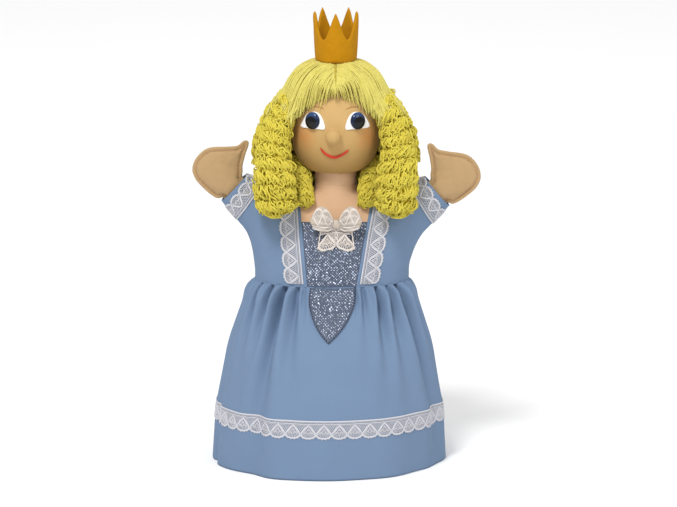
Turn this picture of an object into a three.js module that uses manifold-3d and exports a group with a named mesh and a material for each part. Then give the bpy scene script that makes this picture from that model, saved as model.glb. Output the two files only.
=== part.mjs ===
// A princess glove puppet: a head on a finger tube, a bodice with two mitten hands, and a gathered skirt
// that stands on its hem. Millimetres, +Z up, the puppet faces -Y, and the origin is on the floor
// under the middle of the puppet.
import * as THREE from "three";
import { mergeVertices } from "three/addons/utils/BufferGeometryUtils.js";
import Module from "manifold-3d";

const wasm = await Module();
wasm.setup();

// ---------------------------------------------------------------- driving dimensions
const GAP = 0.3; // air left between sewn or glued neighbours
const CLOTH = 1.2; // thickness of the dress cotton and the jersey, with its seam allowances
const FELT = 1.8;
const LACE = 0.8;
const LACE_WIDTH = 11.6;

const WAIST_Z = 117.5;
const NECKLINE_Z = 157.5;
const SHOULDER_Z = 171;
const NECK_FOOT_Z = 173;
const NECK_TOP_Z = 186.4;
const CROWN_FOOT_Z = 258.6;
const TOTAL_HEIGHT = 291;

// Skirt: [height, half-width, half-depth, sideways shift of the centre]
const SKIRT = [
  [0, 75, 71, -5.2],
  [34, 73, 67, -4.7],
  [54, 69.4, 62, -4.2],
  [76, 65.6, 55, -3.6],
  [100, 57.3, 42, -3],
  [WAIST_Z, 49.5, 31.5, -2.6],
];
// Bodice, the same way
const TORSO = [
  [WAIST_Z, 49.3, 31, -2.6],
  [128, 49.6, 30, -2.2],
  [138, 53, 28, -1.8],
  [150, 55, 24, -1.4],
  [160, 52, 19.5, -1],
  [SHOULDER_Z, 45, 14, 0],
];
const LACE_Z = 26.5; // foot of the lace round the skirt
const HEM_FOLD = 20; // depth of the turned-up hem inside the skirt
const INSERT_HALF_TOP = 21; // glitter insert, half-width at the neckline and at the waist
const INSERT_HALF_FOOT = 15.7;
const INSERT_POINT = { half: 14.5, z: 85, x: -4.6, fullness: 2.6 }; // its rounded point on the skirt

const HEAD = { z: 213, radius: 28, up: 41.5, down: 29, roundness: 2.4 };
const NECK_RADIUS = 13;
const STUB_RADIUS = 10.5; // neck of the head core
const BORE_RADIUS = 9.5;
const STUB_FOOT_Z = 182;
const BORE_TOP_Z = 222;

const ARMHOLE = new THREE.Vector3(39, 0, 157.5); // centre of the armhole on +X, mirrored for -X
const ARMHOLE_HALF = new THREE.Vector3(-12.2, 0, 16.5); // from that centre up to the shoulder
const ARMHOLE_DEPTH = 15;
const CUFF = new THREE.Vector3(65.4, 0, 175.9);
const CUFF_HALF_WIDTH = 11.8;
const CUFF_DEPTH = 8.5;
const HAND_ANGLE = THREE.MathUtils.degToRad(47); // the hand leans this far out from upright
// side -1 is the puppet's right, on the left as seen from the front
const ARMS = [
  { name: "left", side: -1, drop: 0, turn: 0 },
  { name: "right", side: 1, drop: 2.6, turn: THREE.MathUtils.degToRad(6) },
];

// ---------------------------------------------------------------- materials
const material = (color, roughness, metalness = 0) =>
  new THREE.MeshStandardMaterial({ color, roughness, metalness });
const blueCotton = material(0x7ea6d8, 0.85);
const whiteLace = material(0xe9e6ea, 0.9);
const creamLace = material(0xf1e6da, 0.9);
const glitter = material(0x8a93a8, 0.4, 0.6);
const skinFelt = material(0xd9a77c, 0.95);
const skinJersey = material(0xdcab7d, 0.9);
const pressedCore = material(0xcfc2a8, 0.9);
const card = material(0xb49a74, 0.9);
const yellowYarn = material(0xe3d560, 0.95);
const orangeFelt = material(0xd9960f, 0.95);
const whiteFelt = material(0xf4f4f4, 0.9);
const glossBlue = material(0x1b3568, 0.1);
const redThread = material(0xb5271d, 0.7);

// ---------------------------------------------------------------- building closed meshes
const lerp = THREE.MathUtils.lerp;
const vector = (x, y, z) => new THREE.Vector3(x, y, z);

// Row [height, ...values] interpolated at a height
function rowAt(rows, z) {
  const last = rows.length - 2;
  const i = Math.max(0, Math.min(last, rows.findIndex((row) => row[0] > z) - 1));
  const k = rows.at(-1)[0] <= z ? last : i;
  const t = THREE.MathUtils.clamp((z - rows[k][0]) / (rows[k + 1][0] - rows[k][0]), 0, 1);
  return rows[k].map((value, n) => lerp(value, rows[k + 1][n], t));
}

// Closed geometry from points and faces of three or four corners, turned so that its faces point out
function closedGeometry(points, faces) {
  const triangles = faces.flatMap(([a, b, c, d]) => (d === undefined ? [[a, b, c]] : [[a, b, c], [a, c, d]]));
  const volume = triangles.reduce(
    (sum, [a, b, c]) => sum + points[a].dot(points[b].clone().cross(points[c])), 0);
  const index = triangles.flatMap(([a, b, c]) => (volume > 0 ? [a, b, c] : [a, c, b]));
  const geometry = new THREE.BufferGeometry().setFromPoints(points);
  geometry.setIndex(index);
  geometry.computeVertexNormals();
  return geometry;
}

// A thin wall. sheet(u, v, side) gives a point, with side 0 on the outer face and 1 on the inner face.
function wall(sheet, columns, rows, ring = false) {
  const across = ring ? columns : columns + 1;
  const points = [];
  for (const side of [0, 1])
    for (let j = 0; j <= rows; j++)
      for (let i = 0; i < across; i++) points.push(sheet(i / columns, j / rows, side));
  const at = (i, j, side) => side * across * (rows + 1) + j * across + (i % across);
  const faces = [];
  for (let i = 0; i < columns; i++) {
    for (let j = 0; j < rows; j++) {
      faces.push([at(i, j, 0), at(i + 1, j, 0), at(i + 1, j + 1, 0), at(i, j + 1, 0)]);
      faces.push([at(i, j, 1), at(i, j + 1, 1), at(i + 1, j + 1, 1), at(i + 1, j, 1)]);
    }
    faces.push([at(i + 1, 0, 0), at(i, 0, 0), at(i, 0, 1), at(i + 1, 0, 1)]);
    faces.push([at(i, rows, 0), at(i + 1, rows, 0), at(i + 1, rows, 1), at(i, rows, 1)]);
  }
  for (let j = 0; j < rows && !ring; j++) {
    faces.push([at(0, j, 0), at(0, j + 1, 0), at(0, j + 1, 1), at(0, j, 1)]);
    faces.push([at(columns, j + 1, 0), at(columns, j, 0), at(columns, j, 1), at(columns, j + 1, 1)]);
  }
  return closedGeometry(points, faces);
}

// A plate whose outline is a list of 2-D points seen from its centre. sheet(p, side) places a 2-D point.
function plate(outline, centre, rings, sheet) {
  const n = outline.length;
  const points = [];
  for (const side of [0, 1]) {
    points.push(sheet(centre, side));
    for (let k = 1; k <= rings; k++)
      for (const p of outline) points.push(sheet(centre.clone().lerp(p, k / rings), side));
  }
  const at = (k, i, side) => side * (1 + rings * n) + (k ? 1 + (k - 1) * n + (i % n) : 0);
  const faces = [];
  for (let i = 0; i < n; i++) {
    faces.push([at(0, 0, 0), at(1, i, 0), at(1, i + 1, 0)]);
    faces.push([at(0, 0, 1), at(1, i + 1, 1), at(1, i, 1)]);
    for (let k = 1; k < rings; k++) {
      faces.push([at(k, i, 0), at(k + 1, i, 0), at(k + 1, i + 1, 0), at(k, i + 1, 0)]);
      faces.push([at(k, i + 1, 1), at(k + 1, i + 1, 1), at(k + 1, i, 1), at(k, i, 1)]);
    }
    faces.push([at(rings, i + 1, 0), at(rings, i, 0), at(rings, i, 1), at(rings, i + 1, 1)]);
  }
  return closedGeometry(points, faces);
}

// A soft sausage: level circles stacked along a curve
function sausage(curve, radius, sides, steps) {
  const points = [curve.getPoint(0)];
  for (let k = 1; k < steps; k++) {
    const t = k / steps;
    const r = radius * Math.sqrt(Math.min(1, 2.5 * t)) * Math.sqrt(Math.min(1, 5 * (1 - t)));
    const c = curve.getPoint(t);
    for (let i = 0; i < sides; i++) {
      const a = (2 * Math.PI * i) / sides;
      points.push(vector(c.x + r * Math.cos(a), c.y + r * Math.sin(a), c.z));
    }
  }
  points.push(curve.getPoint(1));
  const at = (k, i) => 1 + (k - 1) * sides + (i % sides);
  const faces = [];
  for (let i = 0; i < sides; i++) {
    faces.push([0, at(1, i + 1), at(1, i)]);
    for (let k = 1; k < steps - 1; k++)
      faces.push([at(k, i), at(k, i + 1), at(k + 1, i + 1), at(k + 1, i)]);
    faces.push([points.length - 1, at(steps - 1, i), at(steps - 1, i + 1)]);
  }
  return closedGeometry(points, faces);
}

// A turned shape about +Z. Its profile of [radius, height] runs down the outside.
function lathe(profile, segments) {
  const upwards = profile.toReversed().map(([r, z]) => new THREE.Vector2(r, z));
  return new THREE.LatheGeometry(upwards, segments).rotateX(Math.PI / 2);
}

// A closed geometry as a manifold-3d solid, and back
function toSolid(geometry) {
  const bare = new THREE.BufferGeometry().setAttribute("position", geometry.getAttribute("position"));
  if (geometry.index) bare.setIndex(geometry.index);
  const merged = mergeVertices(bare, 1e-3);
  return new wasm.Manifold(new wasm.Mesh({
    numProp: 3,
    vertProperties: merged.attributes.position.array,
    triVerts: new Uint32Array(merged.index.array),
  }));
}
function fromSolid(solid) {
  const mesh = solid.getMesh();
  const geometry = new THREE.BufferGeometry();
  geometry.setAttribute("position", new THREE.BufferAttribute(mesh.vertProperties, 3));
  geometry.setIndex(new THREE.BufferAttribute(mesh.triVerts, 1));
  geometry.computeVertexNormals();
  return geometry;
}

const puppet = new THREE.Group();
function add(name, geometry, look, parent = puppet) {
  const mesh = new THREE.Mesh(geometry, look);
  mesh.name = name;
  parent.add(mesh);
  return mesh;
}

// ---------------------------------------------------------------- skirt
// Point on a level section at an angle (0 is +X, a right angle is the front), grown outwards
function onSection(rows, z, angle, grow) {
  const [, width, depth, shift] = rowAt(rows, z);
  return vector(shift + (width + grow) * Math.cos(angle), -(depth + grow) * Math.sin(angle), z);
}
const layer = (inner, thickness) => (side) => inner + (side ? 0 : thickness);

function skirtPanel(front) {
  const seam = GAP / 70;
  const from = front ? seam : Math.PI + seam;
  const grow = layer(-CLOTH, CLOTH);
  return wall((u, v, side) =>
    onSection(SKIRT, v * (WAIST_Z - GAP), from + u * (Math.PI - 2 * seam), grow(side)), 18, 6);
}
add("skirt_front", skirtPanel(true), blueCotton);
add("skirt_back", skirtPanel(false), blueCotton);

// A band all round the skirt between two heights
function skirtBand(foot, top, inner, thickness) {
  const grow = layer(inner, thickness);
  return wall((u, v, side) => onSection(SKIRT, lerp(foot, top, v), u * 2 * Math.PI, grow(side)), 36, 1, true);
}
add("hem_lace", skirtBand(LACE_Z, LACE_Z + LACE_WIDTH, GAP, LACE), whiteLace);
add("hem_fold", skirtBand(0.4, HEM_FOLD, -CLOTH - GAP - 1, 1), blueCotton);

// Angle on a section at which x is reached, on the front
function frontAngle(rows, z, x) {
  const [, width, , shift] = rowAt(rows, z);
  return Math.acos((x - shift) / width);
}
function insertPoint() {
  const top = WAIST_Z - 1;
  return wall((u, v, side) => {
    const z = lerp(INSERT_POINT.z, top, v);
    const half = lerp(0.6, INSERT_POINT.half, 1 - Math.pow(1 - v, INSERT_POINT.fullness));
    const x = lerp(INSERT_POINT.x, -1.5, v) + half * (1 - 2 * u);
    return onSection(SKIRT, z, frontAngle(SKIRT, z, x), GAP + (side ? 0 : LACE));
  }, 4, 5);
}
add("glitter_point", insertPoint(), glitter);

// ---------------------------------------------------------------- bodice
const insertHalf = (z) => lerp(INSERT_HALF_FOOT, INSERT_HALF_TOP, (z - WAIST_Z) / (NECKLINE_Z - WAIST_Z));
const BODICE_FOOT_Z = WAIST_Z + GAP;

// Everything beyond the armhole belongs to the sleeve. The block starts a margin short of the armhole.
const armholeOut = vector(ARMHOLE_HALF.z, 0, -ARMHOLE_HALF.x).normalize();
function beyondArmhole(side, margin) {
  const reach = 100;
  const block = new THREE.BoxGeometry(reach, reach, reach);
  block.translate(reach / 2 - margin, 0, 0).rotateY(-Math.atan2(armholeOut.z, armholeOut.x));
  block.translate(ARMHOLE.x, 0, ARMHOLE.z);
  if (side < 0) block.rotateZ(Math.PI);
  return toSolid(block);
}

// The side panel runs from the edge of the insert round the side to the middle panel of the back
function sidePanel(side) {
  const grow = layer(-CLOTH, CLOTH);
  const whole = wall((u, v, face) => {
    const z = lerp(BODICE_FOOT_Z, SHOULDER_Z, v);
    const shift = rowAt(TORSO, z)[3];
    const inner = frontAngle(TORSO, z, shift + insertHalf(z) + GAP);
    const angle = lerp(inner, -inner, u);
    const p = onSection(TORSO, z, angle, grow(face));
    return vector(shift + side * (p.x - shift), p.y, p.z);
  }, 16, 6);
  return fromSolid(toSolid(whole).subtract(beyondArmhole(side, GAP)));
}
for (const { name, side } of ARMS) add(`${name}_bodice_panel`, sidePanel(side), blueCotton);

// A panel between the two side panels, on the front or on the back
function middlePanel(foot, top, front) {
  return wall((u, v, side) => {
    const z = lerp(foot, top, v);
    const shift = rowAt(TORSO, z)[3];
    const angle = frontAngle(TORSO, z, shift + (insertHalf(z) - GAP) * (1 - 2 * u));
    return onSection(TORSO, z, front ? angle : -angle, side ? -CLOTH : 0);
  }, 6, 4);
}
add("glitter_insert", middlePanel(BODICE_FOOT_Z, NECKLINE_Z, true), glitter);
add("chest_panel", middlePanel(NECKLINE_Z + GAP, SHOULDER_Z - 1, true), skinJersey);
add("bodice_back", middlePanel(BODICE_FOOT_Z, SHOULDER_Z - 1, false), blueCotton);

// The yoke closes the shoulders round the foot of the neck
function neckYoke() {
  return wall((u, v, side) => {
    const a = u * 2 * Math.PI;
    const reach = NECK_RADIUS + 0.6;
    const x = lerp(reach, 23.5, v) * Math.cos(a);
    const y = lerp(reach, 14.4, v) * Math.sin(a);
    return vector(x, y, lerp(178, SHOULDER_Z + 0.2, v) - side * CLOTH);
  }, 20, 1, true);
}
add("neck_yoke", neckYoke(), skinJersey);

function bodiceLace(side) {
  const whole = wall((u, v, face) => {
    const z = lerp(BODICE_FOOT_Z + 0.5, SHOULDER_Z - 3, v);
    const shift = rowAt(TORSO, z)[3];
    const x = shift + insertHalf(z) + 2.2 + u * LACE_WIDTH;
    const p = onSection(TORSO, z, frontAngle(TORSO, z, x), GAP + (face ? 0 : LACE));
    return vector(shift + side * (p.x - shift), p.y, p.z);
  }, 3, 6);
  return fromSolid(toSolid(whole).subtract(beyondArmhole(side, 1.2)));
}
for (const { name, side } of ARMS) add(`${name}_bodice_lace`, bodiceLace(side), whiteLace);

// ---------------------------------------------------------------- bow of lace at the neckline
const bow = new THREE.Group();
bow.position.set(0.3, -27, 157.5);
puppet.add(bow);
function bowLoop(side) {
  const outline = [[1.8, -1.5], [6, -5], [12, -3.2], [15, 2.5], [11, 10], [7.5, 11.5], [4, 7], [1.8, 1.6]];
  const spline = new THREE.SplineCurve(outline.map(([x, z]) => new THREE.Vector2(side * x, z)));
  return plate(spline.getPoints(14), new THREE.Vector2(side * 8, 2.5), 2, (p, face) => {
    const fullness = 1 - Math.min(1, Math.hypot(p.x - side * 8, p.y - 2.5) / 8.5);
    return vector(p.x, (face ? 1 : -1) * (0.8 + 1.6 * fullness), p.y);
  });
}
function bowTail(side) {
  const shape = new THREE.Shape([[0.4, -3.2], [9.6, -6], [11, -15.5], [0.6, -17]]
    .map(([x, z]) => new THREE.Vector2(side * x, z)));
  const geometry = new THREE.ExtrudeGeometry(shape, { depth: LACE, bevelEnabled: false });
  return geometry.rotateX(Math.PI / 2);
}
for (const { name, side } of ARMS) {
  add(`${name}_bow_loop`, bowLoop(side), creamLace, bow);
  add(`${name}_bow_tail`, bowTail(side), creamLace, bow).position.set(0, -0.6, -0.6);
}
add("bow_knot", new THREE.SphereGeometry(1.7, 12, 8).scale(0.8, 1.2, 1.4), creamLace, bow);

// ---------------------------------------------------------------- arms
// Point on the sleeve: u goes round it from the top, v goes from the armhole to the cuff
function onSleeve(arm, u, v, grow) {
  const a = u * 2 * Math.PI;
  const cuff = CUFF.clone().setZ(CUFF.z - arm.drop);
  const lean = HAND_ANGLE + arm.turn * 0.5;
  const across = vector(-Math.cos(lean), 0, Math.sin(lean)).multiplyScalar(CUFF_HALF_WIDTH);
  const start = ARMHOLE.clone().addScaledVector(armholeOut, GAP);
  const centre = start.lerp(cuff, v);
  const half = ARMHOLE_HALF.clone().lerp(across, v);
  half.setLength(half.length() + grow);
  const depth = lerp(ARMHOLE_DEPTH, CUFF_DEPTH, v) + grow;
  const p = centre.addScaledVector(half, Math.cos(a)).add(vector(0, -depth * Math.sin(a), 0));
  return p.setX(p.x * arm.side);
}
function sleeveWall(arm, from, to, inner, thickness, rows) {
  const grow = layer(inner, thickness);
  return wall((u, v, side) => onSleeve(arm, u, lerp(from, to, v), grow(side)), 16, rows, true);
}

// Mitten outline: along the arm from the cuff, and across it towards the thumb
const MITTEN = [
  [-4, -8.4], [0.5, -9], [3, -12], [8, -13.1], [14.4, -13.2], [21.7, -12.3], [27.6, -8.8], [30.6, -1.5],
  [29.2, 8], [20.4, 17.5], [16.6, 22], [16, 26.5], [14.2, 28.5], [12, 27.4], [9.1, 21.1], [5.6, 14.8],
  [3, 12], [0.5, 9], [-4, 8.4],
];
function mitten(arm, front) {
  const spline = new THREE.SplineCurve(MITTEN.map(([s, t]) => new THREE.Vector2(s, t)));
  const lean = HAND_ANGLE + arm.turn;
  const along = vector(Math.sin(lean), 0, Math.cos(lean));
  const across = vector(-Math.cos(lean), 0, Math.sin(lean));
  return plate(spline.getPoints(26), new THREE.Vector2(13, 3), 3, (p, face) => {
    // the finger inside rounds the root of the hand, and the tip and thumb are flat
    const round = 4 * Math.max(0, 1 - (p.y / 11) ** 2) * THREE.MathUtils.clamp((26 - p.x) / 26, 0, 1);
    const depth = 0.25 + round + (face ? 0 : FELT);
    const q = CUFF.clone().setZ(CUFF.z - arm.drop).addScaledVector(along, p.x).addScaledVector(across, p.y);
    return vector(arm.side * q.x, front ? -depth : depth, q.z);
  });
}
for (const arm of ARMS) {
  add(`${arm.name}_sleeve`, sleeveWall(arm, 0, 1, -CLOTH, CLOTH, 4), blueCotton);
  add(`${arm.name}_cuff_lace`, sleeveWall(arm, 0.57, 0.92, GAP, LACE, 1), whiteLace);
  add(`${arm.name}_hand_front`, mitten(arm, true), skinFelt);
  add(`${arm.name}_hand_back`, mitten(arm, false), skinFelt);
}

// ---------------------------------------------------------------- head
// Profile of the head, grown outwards, from the crown of the head down to a radius under the chin
function headProfile(grow, footRadius, steps) {
  const power = 2 / HEAD.roundness;
  const radius = HEAD.radius + grow;
  const last = -Math.acos(Math.pow(footRadius / radius, 1 / power));
  return Array.from({ length: steps + 1 }, (_, i) => {
    const a = lerp(Math.PI / 2, last, i / steps);
    const height = (a > 0 ? HEAD.up : HEAD.down) + grow;
    const rise = Math.sign(Math.sin(a)) * Math.pow(Math.abs(Math.sin(a)), power) * height;
    return [i ? radius * Math.pow(Math.cos(a), power) : 0, HEAD.z + rise];
  });
}
// Point on the front of the head at x and z
function onFace(x, z, grow) {
  const height = (z > HEAD.z ? HEAD.up : HEAD.down) + grow;
  const t = Math.abs(z - HEAD.z) / height;
  const r = (HEAD.radius + grow) * Math.pow(1 - Math.pow(t, HEAD.roundness), 1 / HEAD.roundness);
  return vector(x, -Math.sqrt(Math.max(0, r * r - x * x)), z);
}
const SKIN_INSIDE = -CLOTH + 0.1;
add("head_core", lathe([
  ...headProfile(SKIN_INSIDE - GAP, STUB_RADIUS, 10),
  [STUB_RADIUS, STUB_FOOT_Z],
  [BORE_RADIUS, STUB_FOOT_Z],
  [BORE_RADIUS, BORE_TOP_Z],
  [0, BORE_TOP_Z],
], 24), pressedCore);
add("face_skin", lathe([
  ...headProfile(0, NECK_RADIUS + 0.6, 10),
  ...headProfile(SKIN_INSIDE, NECK_RADIUS + 0.6, 10).reverse(),
], 24), skinJersey);
add("finger_tube", lathe([
  [BORE_RADIUS - GAP, BORE_TOP_Z - 8], [BORE_RADIUS - GAP, STUB_FOOT_Z],
  [BORE_RADIUS - GAP - 0.8, STUB_FOOT_Z], [BORE_RADIUS - GAP - 0.8, BORE_TOP_Z - 8],
  [BORE_RADIUS - GAP, BORE_TOP_Z - 8],
], 24), card);
add("neck_cover", lathe([
  [NECK_RADIUS, NECK_TOP_Z], [NECK_RADIUS, NECK_FOOT_Z],
  [NECK_RADIUS - CLOTH, NECK_FOOT_Z], [NECK_RADIUS - CLOTH, NECK_TOP_Z],
  [NECK_RADIUS, NECK_TOP_Z],
], 24), skinJersey);

// ---------------------------------------------------------------- face
const EYE_Z = 223.4;
const EYE_X = 13.5;
const FACE_X = -0.3; // the features sit a little to one side of the seam
function eyeWhite(side) {
  const outline = [
    [-8, -4.6], [-6.6, 0.4], [-3.6, 4.6], [0.4, 6.2], [3.6, 5], [6, 1], [7, -4.4], [3, -4.6], [-2, -4.7],
    [-8, -4.6],
  ];
  const spline = new THREE.SplineCurve(outline.map(([x, z]) => new THREE.Vector2(-side * x, z)));
  return plate(spline.getPoints(18).slice(1), new THREE.Vector2(0, 0), 2, (p, face) =>
    onFace(FACE_X + side * EYE_X + p.x, EYE_Z + p.y, GAP + (face ? 0 : 0.8)));
}
function pupil(side) {
  const dome = Array.from({ length: 5 }, (_, i) => {
    const a = (i / 4) * (Math.PI / 2);
    return [5.1 * Math.sin(a), 2.6 * Math.cos(a)];
  });
  const geometry = lathe([...dome, [5.1, -0.2], [0, -0.2]], 16).scale(1, 1.08, 1);
  const mesh = add(`${side < 0 ? "left" : "right"}_pupil`, geometry, glossBlue);
  const x = FACE_X + side * (EYE_X + 0.4);
  const z = EYE_Z + 0.5;
  const here = onFace(x, z, 0);
  const normal = vector(here.x, here.y, (here.z - HEAD.z) * 0.3).normalize();
  mesh.position.copy(here).addScaledVector(normal, GAP + 0.8 + 0.75);
  mesh.quaternion.setFromUnitVectors(vector(0, 0, 1), normal);
}
for (const { name, side } of ARMS) {
  add(`${name}_eye_white`, eyeWhite(side), whiteFelt);
  pupil(side);
}

function noseBall() {
  const ball = new THREE.SphereGeometry(5.1, 14, 10).translate(FACE_X - 1.3, -30.8, 214.2);
  const face = lathe(headProfile(GAP, 0.01, 16).map(([r, z], i) => [i < 16 ? r : 0, z]), 48);
  return fromSolid(toSolid(ball).subtract(toSolid(face)));
}
add("nose_ball", noseBall(), skinJersey);

function mouthThread() {
  const route = [[-9.4, 206.6], [-6, 202.9], [-0.8, 200.8], [4.6, 202.6], [8.6, 205.6]]
    .map(([x, z]) => onFace(x + FACE_X, z, GAP + 0.8));
  const section = new THREE.Shape().absarc(0, 0, 0.6, 0, 2 * Math.PI);
  return new THREE.ExtrudeGeometry(section, {
    steps: 12, curveSegments: 3, bevelEnabled: false, extrudePath: new THREE.CatmullRomCurve3(route),
  });
}
add("mouth_thread", mouthThread(), redThread);

// ---------------------------------------------------------------- hair
// Outside of the cap from its top down, as [radius, height]
const CAP_PROFILE = new THREE.SplineCurve(
  [[0, 259.4], [13, 257.6], [22, 253.6], [29.6, 246], [33.4, 236.5], [33.6, 226], [32.6, 216]]
    .map(([r, z]) => new THREE.Vector2(r, z)));
const CAP_THICKNESS = 3;
// Share of the profile that the cap covers: down to the forehead in front, and to the nape behind
function capReach(angle) {
  const front = THREE.MathUtils.smoothstep(-Math.sin(angle), 0.6, 1);
  return lerp(0.99, 0.56, front);
}
function hairCap() {
  const outline = Array.from({ length: 28 }, (_, i) => {
    const a = (i / 28) * 2 * Math.PI;
    return new THREE.Vector2(Math.cos(a), Math.sin(a)).multiplyScalar(capReach(a));
  });
  return plate(outline, new THREE.Vector2(0, 0), 5, (p, face) => {
    const share = p.length();
    const [r, z] = CAP_PROFILE.getPoint(Math.min(1, share)).toArray();
    const tangent = CAP_PROFILE.getTangent(Math.min(1, share));
    const inset = face * CAP_THICKNESS;
    const radius = share ? r + inset * tangent.y : 0;
    const turn = Math.atan2(p.y, p.x);
    return vector(radius * Math.cos(turn), radius * Math.sin(turn), z - inset * (share ? tangent.x : 1));
  });
}
add("hair_cap", hairCap(), yellowYarn);

function fringe() {
  return wall((u, v, side) => {
    const x = lerp(-19, 19, u);
    const foot = 235.5 + 1.6 * Math.cos((x / 19) * Math.PI) - 0.009 * x * x;
    return onFace(x, lerp(foot, 243 - 0.014 * x * x, v), GAP + (side ? 0 : 1.2));
  }, 10, 2);
}
add("fringe", fringe(), yellowYarn);

// Ringlets on one side, front to back, then the short one behind the chin.
// Each has the top, middle and end of its curve as [out from the middle, back, up].
const RINGLETS = [
  { radius: 7.4, route: [[31, -19, 239], [34.5, -26, 206], [27.6, -27.5, 162.5]] },
  { radius: 7.4, route: [[36.5, -8, 239], [45.2, -12, 204], [43.2, -26, 160.5]] },
  { radius: 6.6, route: [[38, 9, 238], [46, 6, 210], [45.5, 3, 190]] },
  { radius: 7.4, route: [[31, 24, 238], [37.4, 27.6, 205], [39, 27, 166]] },
  { radius: 7.4, route: [[20, 33, 238], [24, 39.6, 205], [25, 37, 163]] },
  { radius: 7.4, route: [[7, 38, 238], [8.2, 45.6, 205], [8.6, 42, 160]] },
  { radius: 5.2, route: [[26, 4, 190], [24.5, -7, 183], [19, -20.5, 170]] },
];
for (const { name, side } of ARMS)
  RINGLETS.forEach(({ radius, route }, i) => {
    const curve = new THREE.CatmullRomCurve3(route.map(([x, y, z]) => vector(side * x, y, z)));
    add(`${name}_ringlet_${i + 1}`, sausage(curve, radius, 7, 8), yellowYarn);
  });

// ---------------------------------------------------------------- crown
function crown() {
  const points = 5;
  const band = 15; // height of the closed band under the notches
  const height = TOTAL_HEIGHT - CROWN_FOOT_Z;
  return wall((u, v, side) => {
    const share = Math.abs(((u * points) % 1) - 0.5) * 2; // 0 at a point's tip and 1 at a notch
    const top = band + (height - band) * Math.pow(1 - share, 0.85);
    const z = v * top;
    const radius = 13.1 + (2.1 * z) / height - side * FELT;
    const a = u * 2 * Math.PI - Math.PI / 2 - Math.PI / points;
    return vector(radius * Math.cos(a), radius * Math.sin(a), CROWN_FOOT_Z + z);
  }, 40, 2, true);
}
add("crown", crown(), orangeFelt);

export default puppet;
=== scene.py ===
"""A princess glove puppet, standing on the hem of its dress.

Sizes in this file are in millimetres, in the row's frame: +Z up, the puppet faces -Y, and names that start
with left_ are on -X. They become metres where a mesh is made.
"""
import math

import bmesh
import bpy
import numpy as np
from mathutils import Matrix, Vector


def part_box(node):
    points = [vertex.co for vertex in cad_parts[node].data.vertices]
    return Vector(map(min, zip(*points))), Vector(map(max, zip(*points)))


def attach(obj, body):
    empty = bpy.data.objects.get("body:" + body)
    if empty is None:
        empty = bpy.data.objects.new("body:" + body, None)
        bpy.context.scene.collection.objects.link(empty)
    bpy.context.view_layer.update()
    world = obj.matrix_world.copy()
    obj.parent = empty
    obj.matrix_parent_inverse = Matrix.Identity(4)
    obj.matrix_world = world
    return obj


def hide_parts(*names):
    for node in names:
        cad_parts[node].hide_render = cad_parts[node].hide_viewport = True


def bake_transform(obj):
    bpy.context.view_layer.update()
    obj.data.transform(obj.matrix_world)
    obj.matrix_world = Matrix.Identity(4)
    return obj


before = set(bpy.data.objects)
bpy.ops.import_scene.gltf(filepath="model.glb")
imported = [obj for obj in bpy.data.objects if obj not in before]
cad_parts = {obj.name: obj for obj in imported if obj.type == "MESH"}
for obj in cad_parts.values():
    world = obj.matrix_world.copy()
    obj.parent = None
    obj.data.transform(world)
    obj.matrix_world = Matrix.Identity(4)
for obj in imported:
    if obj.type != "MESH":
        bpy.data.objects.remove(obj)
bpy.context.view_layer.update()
MM = 0.001
SIDES = {"left": -1, "right": 1}


def mm(corner):
    """A corner in metres, in millimetres"""
    return np.array(corner) / MM


def unit(vector):
    """A vector, or each row of vectors, at length 1"""
    return vector / np.linalg.norm(vector, axis=-1, keepdims=True)


def ring_angles(count):
    """Evenly spaced angles once round, from 0"""
    return np.arange(count) * 2 * np.pi / count


def distance_along(path):
    """How far along a path each of its points is"""
    return np.concatenate([[0], np.cumsum(np.linalg.norm(np.diff(path, axis=0), axis=1))])


# ---------------- sizes
WAIST_Z = mm(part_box("skirt_front")[1])[2] + 0.3
NECKLINE_Z = mm(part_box("glitter_insert")[1])[2]
CROWN_FOOT_Z = mm(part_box("crown")[0])[2]
TOP_Z = mm(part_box("crown")[1])[2]
LACE_FOOT_Z = mm(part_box("hem_lace")[0])[2]
HEM_FOLD_Z = mm(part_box("hem_fold")[1])[2]
# Level sections as [height, half-width, half-depth, sideways shift]
SKIRT = np.array([
    [0, 75, 71, -5.2], [34, 73, 67, -4.7], [54, 69.4, 62, -4.2],
    [76, 65.6, 55, -3.6], [100, 57.3, 42, -3], [WAIST_Z, 49.5, 31.5, -2.6],
])
TORSO = np.array([
    [WAIST_Z - 6, 49.3, 31.6, -2.6], [WAIST_Z, 49, 31, -2.6], [128, 49.4, 30, -2.2], [138, 51.5, 28, -1.8],
    [150, 50.5, 24, -1.4], [160, 44, 19.5, -0.6], [168, 34, 14.5, 0], [176, 22, 10, 0],
])
TORSO_TOP_Z = 173
SHOULDER_BLEND, NECK_BLEND = 9, 5  # how wide the sleeves and the neck flow into the torso
INSERT_FOOT, INSERT_TOP = 15.7, 21.0  # half-width of the glitter insert at the waist and at the neckline
LACE_WIDTH = 11.6
LACE_PITCH = 9.8
NECK_RADIUS = 13.3
NECK_SEAM_Z = 179.5
CHIN_Z = 187.3
HEAD_Z, HEAD_RADIUS, HEAD_UP, HEAD_DOWN = 213.0, 28.0, 41.5, 29.0
HEAD_POWER = (2.5, 2.4)  # roundness above and below
BORE_RADIUS, BORE_TOP_Z = 10.8, 224
FACE_X = -0.3
EYE_Z, EYE_X = 223.3, 13.5
NOSE = np.array([-1.6, -30.8, 214.2])
NOSE_RADIUS = 5.1
ARMHOLE = np.array([39, 0, 157.5])
ARMHOLE_HALF = (20.4, 15.0)  # across and deep
CUFF = np.array([65.4, 0, 175.9])
CUFF_HALF = (11.8, 8.5)
HAND_LEAN = math.radians(47)
DROP = {-1: 0.0, 1: 2.6}  # the right arm hangs this much lower
TURN = {-1: 0.0, 1: math.radians(6)}
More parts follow.
